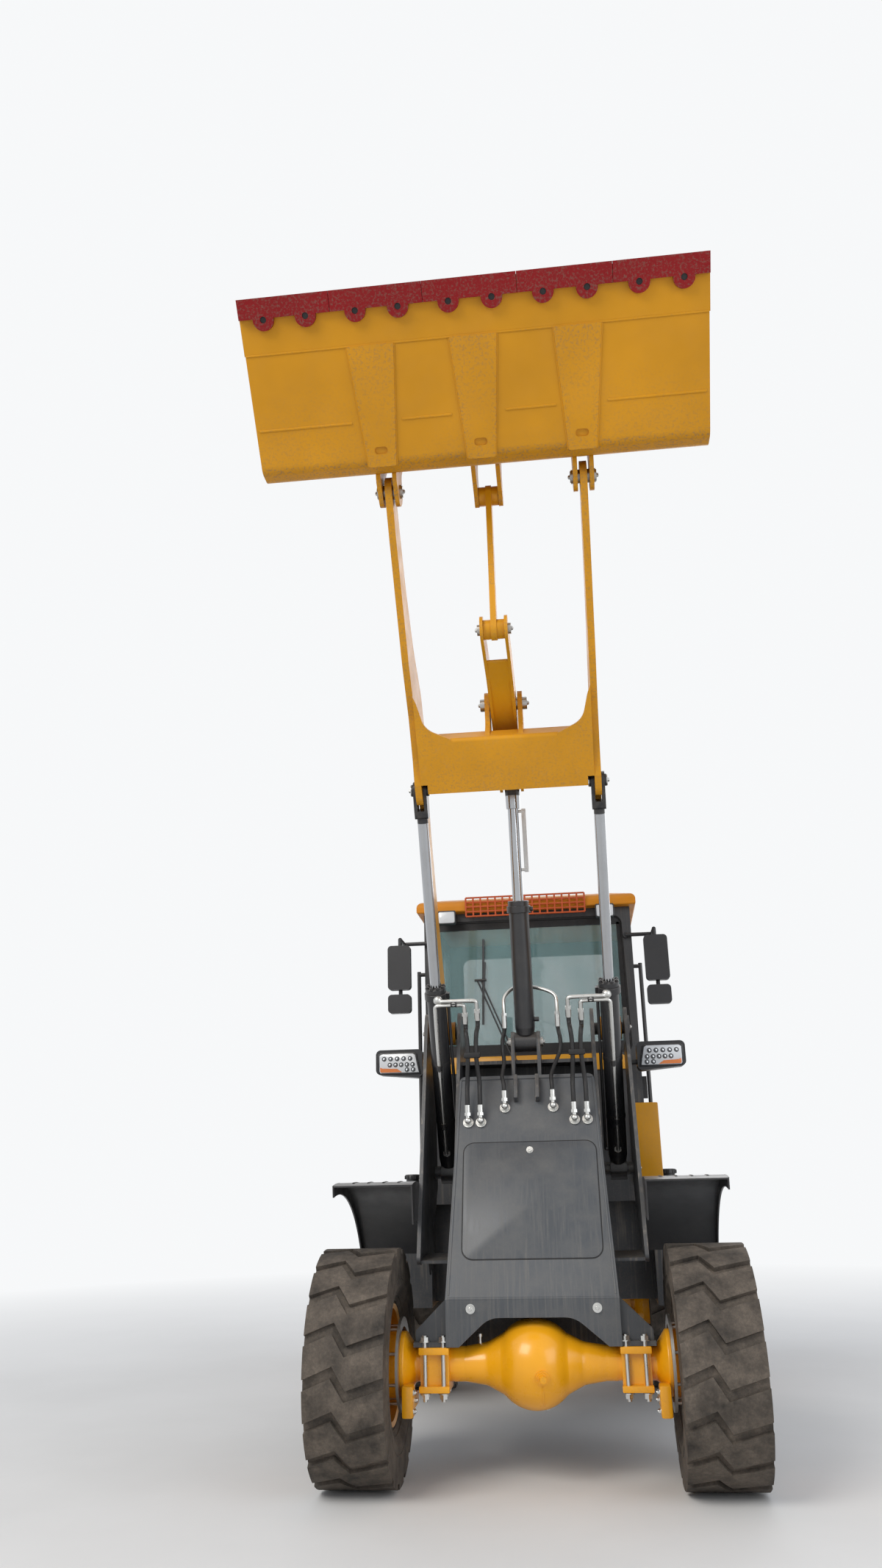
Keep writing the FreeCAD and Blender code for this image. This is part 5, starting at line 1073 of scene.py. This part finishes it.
for sign, side in HANDS:
    kit = Kit(f"front_fender_ribs_{side}", "black", FRONT)
    for x in (0.68, 0.76, 0.84, 0.92):
        centre = world(sign * x, FENDER_BACK, AXLE_HEIGHT)
        kit.trail([touch("front_fenders", centre + out * 1.2, -out) for out in fan(38, 56, 24)], 0.016, 0.004)
    centre = world(sign * EDGE_X, FENDER_BACK, AXLE_HEIGHT)
    kit.trail([(centre + out * EDGE_RADIUS, out) for out in fan(32.5, 67, 30)], 0.014, 0.006)
    kit.done()
    kit = Kit(f"rear_fender_ribs_{side}", "black", REAR)
    for x in (0.70, 0.82, 0.94):
        centre = world(sign * x, WHEELBASE, AXLE_HEIGHT)
        kit.trail([touch("rear_fenders", centre + out * 0.95, -out) for out in fan(30, 112, 36)], 0.016, 0.004)
    kit.done()

# Headlights, seen from the front on the left side

BEZEL = [(-0.133, -0.062), (0.122, -0.062), (0.130, -0.052), (0.130, 0.058), (0.112, 0.068), (-0.092, 0.068),
         (-0.110, 0.056)]
LENS = [(-0.122, -0.053), (0.112, -0.053), (0.119, -0.045), (0.119, 0.050), (0.104, 0.059), (-0.086, 0.059),
        (-0.100, 0.050)]
AMBER = [(-0.020, -0.050), (0.108, -0.050), (0.115, -0.044), (0.115, -0.020), (0.100, -0.026), (0.010, -0.030)]
CELLS = ([(-0.070 + 0.040 * step, 0.030) for step in range(5)]
         + [(-0.085 + 0.035 * step, -0.006) for step in range(5)] + [(-0.088, -0.036), (-0.050, -0.036)])


def facing_front(outline, sign):
    """An outline seen from the front, mirrored for the other side."""
    return [(u * sign, v) for u, v in outline][::sign]


for sign, side in HANDS:
    centre = from_front("headlights", sign * 0.790, 2.062)
    kit = Kit(f"headlight_bezel_{side}", "plastic", FRONT)
    kit.slab(facing_front(BEZEL, sign), centre, X, Z, 0.008, 0.003)
    for u, v in ((-0.118, 0.010), (0.124, 0.0)):
        spot = centre + X * sign * u + Z * v
        kit.bar(spot - Y * 0.006, spot - Y * 0.010, 0.004, 10)
    kit.done()
    Kit(f"headlight_lens_{side}", "lens", FRONT).slab(
        facing_front(LENS, sign), centre - Y * 0.008, X, Z, 0.004, 0.0015).done()
    cups = Kit(f"headlight_cups_{side}", "trim", FRONT)
    domes = Kit(f"headlight_cells_{side}", "mirror", FRONT)
    for u, v in CELLS:
        spot = centre + X * sign * u + Z * v - Y * 0.012
        cups.bar(spot, spot - Y * 0.0020, 0.0145, 20, 0.0125)
        domes.ball(spot - Y * 0.0005, 0.0088)
    cups.done()
    domes.done()
    Kit(f"indicator_{side}", "amber", FRONT).slab(
        facing_front(AMBER, sign), centre - Y * 0.011, X, Z, 0.004, 0.0015).done()

# Work lamps and tail lamps

for sign, side in HANDS:
    centre = from_front("work_lamps", sign * 0.53, 3.056)
    Kit(f"work_lamp_lens_{side}", "lens", REAR).slab(
        rounded(-0.055, -0.041, 0.055, 0.038, 0.012), centre, X, Z, 0.006, 0.003).done()
    ring = [centre + X * u + Z * v - Y * 0.001 for u, v in rounded(-0.0585, -0.0445, 0.0585, 0.0365, 0.014)]
    Kit(f"work_lamp_rim_{side}", "trim", REAR).ribbon(ring + ring[:1], -Y, 0.007, 0.008).done()
    tail = touch("work_lamps", world(sign * 0.535, 6.0, 1.29), -Y)[0]
    for number, (key, low_u, high_u) in enumerate((("ruby", -0.058, 0.012), ("amber", 0.016, 0.058))):
        outline = facing_front(rounded(low_u, -0.032, high_u, 0.032, 0.008), -sign)
        Kit(f"tail_lens_{side}_{number}", key, REAR).slab(outline, tail, -X, Z, 0.006, 0.003).done()

# Windscreen: rubber seal, black border, yellow panel below, wiper; yellow panel at the cab's corner

SCREEN_Y, SCREEN_FOOT, SCREEN_HEIGHT, NARROWING = 1.4635, 2.14, 0.905, 0.018
loop = [world(x * (1 - NARROWING * (z - SCREEN_FOOT) / SCREEN_HEIGHT), SCREEN_Y, z)
        for x, z in rounded(-0.6530, 2.142, 0.6530, 3.043, 0.052)]
Kit("screen_seal", "seal", REAR).ribbon(loop + loop[:1], -Y, 0.026, 0.008).done()
kit = Kit("screen_border", "seal", REAR)
for low_x, low_z, high_x, high_z in ((-0.64, 2.15, 0.64, 2.215), (-0.625, 2.985, 0.625, 3.035),
                                     (-0.640, 2.20, -0.605, 3.0), (0.605, 2.20, 0.640, 3.0)):
    kit.slab([(low_x, low_z), (high_x, low_z), (high_x, high_z), (low_x, high_z)], world(0, 1.4640, 0), X, Z,
             0.0008, 0.0002)
kit.done()
Kit("screen_panel", "hood", REAR).slab(
    [(-0.600, -0.052), (0.600, -0.052), (0.600, 0.030), (0.570, 0.052), (-0.570, 0.052), (-0.600, 0.030)],
    world(0, 1.450, 2.086), X, Z, 0.014, 0.006).done()
kit = Kit("wiper", "black", REAR)
pivot, elbow = world(-0.110, 1.440, 2.100), world(-0.333, 1.437, 2.640)
kit.bar(world(-0.110, 1.449, 2.088), world(-0.110, 1.425, 2.088), 0.022, 20)
for shift in (-0.012, 0.012):
    kit.bar(pivot + X * shift, elbow + X * shift, 0.0055, 10)
kit.bar(elbow - X * 0.030, elbow + X * 0.050, 0.008, 10)
kit.bar(world(-0.296, 1.447, 2.917), world(-0.316, 1.447, 2.347), 0.0075, 10)
kit.bar(world(-0.292, 1.441, 2.760), world(-0.311, 1.441, 2.500), 0.0085, 10)
kit.done()
Kit("corner_panel", "hood", REAR).block(world(0.600, 1.424, 1.335), world(0.785, 1.449, 1.820), 0.010).done()

# Doors, mirrors, tanks and steps

for sign, side in HANDS:
    door, out = f"door_{side}", X * sign
    skin = from_side(door, sign, 1.57, 2.40)
    loop = [world(skin.x - sign * 0.002, y, z) for y, z in rounded(1.594, 1.774, 2.171, 2.991, 0.045)]
    Kit(f"door_seal_{side}", "seal", door).ribbon(loop + loop[:1], out, 0.018, 0.007).done()
    place = from_side(door, sign, 1.572, 1.80)
    Kit(f"door_lock_{side}", "zinc", door).bar(place, place + out * 0.008, 0.014, 24).done()
    for number, (low, high) in enumerate(((2.572, 2.838), (2.420, 2.520))):
        half = (high - low) / 2
        place = touch("mirrors", world(sign * 0.835, 1.60, (low + high) / 2), -Y)[0]
        Kit(f"mirror_glass_{side}_{number}", "mirror", REAR).slab(
            rounded(-0.062, -half, 0.062, half, 0.018), place, -X, Z, 0.003, 0.001).done()
    kit = Kit(f"tank_cap_{side}", "plastic", REAR)
    neck = from_top("side_tanks", sign * 0.83, 1.63)
    kit.turned([(0, 0.050), (0.022, 0.050), (0.028, 0.046), (0.030, 0.030), (0.030, 0)], neck, Z)
    for offset in circle(12, 0.050, X, Y):
        kit.bar(neck + offset + Z * 0.002, neck + offset + Z * 0.022, 0.004, 8)
    kit.done()
    kit = Kit(f"step_treads_{side}", "steel", REAR)
    for z in (0.442, 0.742, 1.042):
        for step in range(5):
            x = sign * (0.955 + 0.017 * step)
            kit.bar(world(x, 1.605, z + 0.001), world(x, 1.895, z + 0.001), 0.0035, 8)
    kit.done()
    kit = Kit(f"tank_straps_{side}", "black", REAR)
    for y in (1.60, 1.90):
        face = from_side("side_tanks", sign, y, 1.20)
        kit.slab([(-0.018, -0.42), (0.018, -0.42), (0.018, 0.10), (-0.018, 0.10)],
                 Vector((face.x, face.y, 1.14)), Y * sign, Z, 0.004, 0.001)
    kit.done()

# Hood, exhaust, air cleaner and counterweight

for sign, side in HANDS:
    place = from_side("engine_hood", sign, 3.62, 1.36)
    low, high = sorted((0.0, sign * 0.012))
    Kit(f"hood_latch_{side}", "black", "hood").block(
        place - Y * 0.050 - Z * 0.016 + X * low, place + Y * 0.050 + Z * 0.016 + X * high, 0.004).done()
    run = [from_side("engine_hood", sign, y, 1.80) for y in (2.98, 3.20, 3.40, 3.60, 3.76)]
    Kit(f"hood_seam_{side}", "hood", "hood").ribbon(run, X * sign, 0.020, 0.005).done()
kit = Kit("hood_handle", "black", "hood")
for x in (-0.10, 0.10):
    place = from_top("engine_hood", x, 3.70)
    kit.bar(place, place + Z * 0.030, 0.009, 12)
place = from_top("engine_hood", 0.0, 3.70) + Z * 0.030
kit.bar(place - X * 0.106, place + X * 0.106, 0.009, 12)
kit.done()
kit = Kit("exhaust_bands", "steel", REAR)
stack = world(-0.24, 2.875, 0)
for z in (1.99, 2.15):
    kit.band(stack + Z * z, Z, 0.0625, 0.0655, 0.022, 48)
for offset in circle(24, 0.0625, X, Y):
    kit.bar(stack + offset + Z * 2.025, stack + offset + Z * 2.130, 0.0025, 6)
kit.done()
kit = Kit("cleaner_bands", "seal", REAR)
cleaner = world(0.24, 2.882, 0)
kit.band(cleaner + Z * 1.965, Z, 0.051, 0.055, 0.018)
for offset in circle(28, 0.0965, X, Y):
    kit.bar(cleaner + offset + Z * 2.070, cleaner + offset + Z * 2.150, 0.004, 6)
kit.done()
kit = Kit("weight_bolts", "steel", REAR)
for x in (-0.56, 0.56):
    for z in (0.80, 1.15):
        place, normal = touch("counterweight", world(x, 6.0, z), -Y)
        kit.nut(place, normal, 0.046, 0.026)
kit.done()
place = touch("counterweight", world(0, 6.0, 0.98), -Y)[0]
Kit("tow_pin", "zinc", REAR).bar(place, place + Y * 0.012, 0.034, 28).done()

# Cab inside: padded seat on its suspension, and arm rests

SEAM_U, CHANNEL_END, SEAM_DEPTH, CROWN = 0.60, 0.62, 0.16, 0.25


def pad(name, half, bolster, seams, lean, place):
    """A crowned cushion with side bolsters, a rolled rim and sewn channels, leaning by an angle in degrees."""
    mesh = bmesh.new()
    bmesh.ops.create_cube(mesh, size=2.0)
    bmesh.ops.subdivide_edges(mesh, edges=mesh.edges, cuts=31, use_grid_fill=True)
    for vert in mesh.verts:
        u, v, w = vert.co
        squeeze = 1 - 0.055 * (abs(w) ** 2)
        round_u = u * (1 - 0.10 * v ** 6) * squeeze
        round_v = v * (1 - 0.10 * u ** 6) * squeeze
        lift = w * (1 - 0.42 * max(abs(u) ** 7, abs(v) ** 7))
        if w > 0:
            lift += CROWN * (1 - u * u) * (1 - v * v) * w
            lift += bolster * math.exp(-((abs(u) - 0.80) / 0.12) ** 2) * w
            lift -= SEAM_DEPTH * math.exp(-((abs(u) - SEAM_U) / 0.022) ** 2) * w
            if abs(u) < CHANNEL_END:
                for seam in seams:
                    lift -= SEAM_DEPTH * math.exp(-((v - seam) / 0.026) ** 2) * w
        vert.co = (round_u * half[0], round_v * half[1], lift * half[2])
    item = add_piece(name, mesh, "cloth")
    item.matrix_world = Matrix.Translation(place) @ Matrix.Rotation(math.radians(lean), 4, "X")
    item.data.shade_smooth()
    finer = item.modifiers.new("smooth", "SUBSURF")
    finer.levels = finer.render_levels = 1
    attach(item, REAR)
    return item


cushion = pad("seat_cushion", (0.245, 0.225, 0.055), 0.35, (0.30, -0.15, -0.55), -2.5, world(0, 2.308, 1.560))
pad("seat_back", (0.232, 0.300, 0.046), 0.45, (0.55, 0.20, -0.20, -0.55), 84.5, world(0, 2.585, 1.868))
kit = Kit("seat_base", "plastic", REAR)
kit.block(world(-0.17, 2.18, 1.2905), world(0.17, 2.48, 1.40), 0.012)
kit.block(world(-0.21, 2.12, 1.455), world(0.21, 2.52, 1.505), 0.014)
for step in range(5):
    z = 1.400 + step * 0.011
    inset = 0.006 if step % 2 else 0.0
    kit.block(world(-0.16 + inset, 2.19 + inset, z), world(0.16 - inset, 2.47 - inset, z + 0.011), 0.002)
kit.done()
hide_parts("driver_seat")
kit = Kit("arm_rests", "plastic", REAR)
for sign in SIDES:
    inner, outer = sorted((sign * 0.262, sign * 0.322))
    kit.block(world(inner, 2.260, 1.765), world(outer, 2.560, 1.805), 0.012)
    kit.bar(world(sign * 0.292, 2.545, 1.60), world(sign * 0.292, 2.545, 1.77), 0.012, 12)
kit.done()

# Finish

bpy.context.view_layer.update()
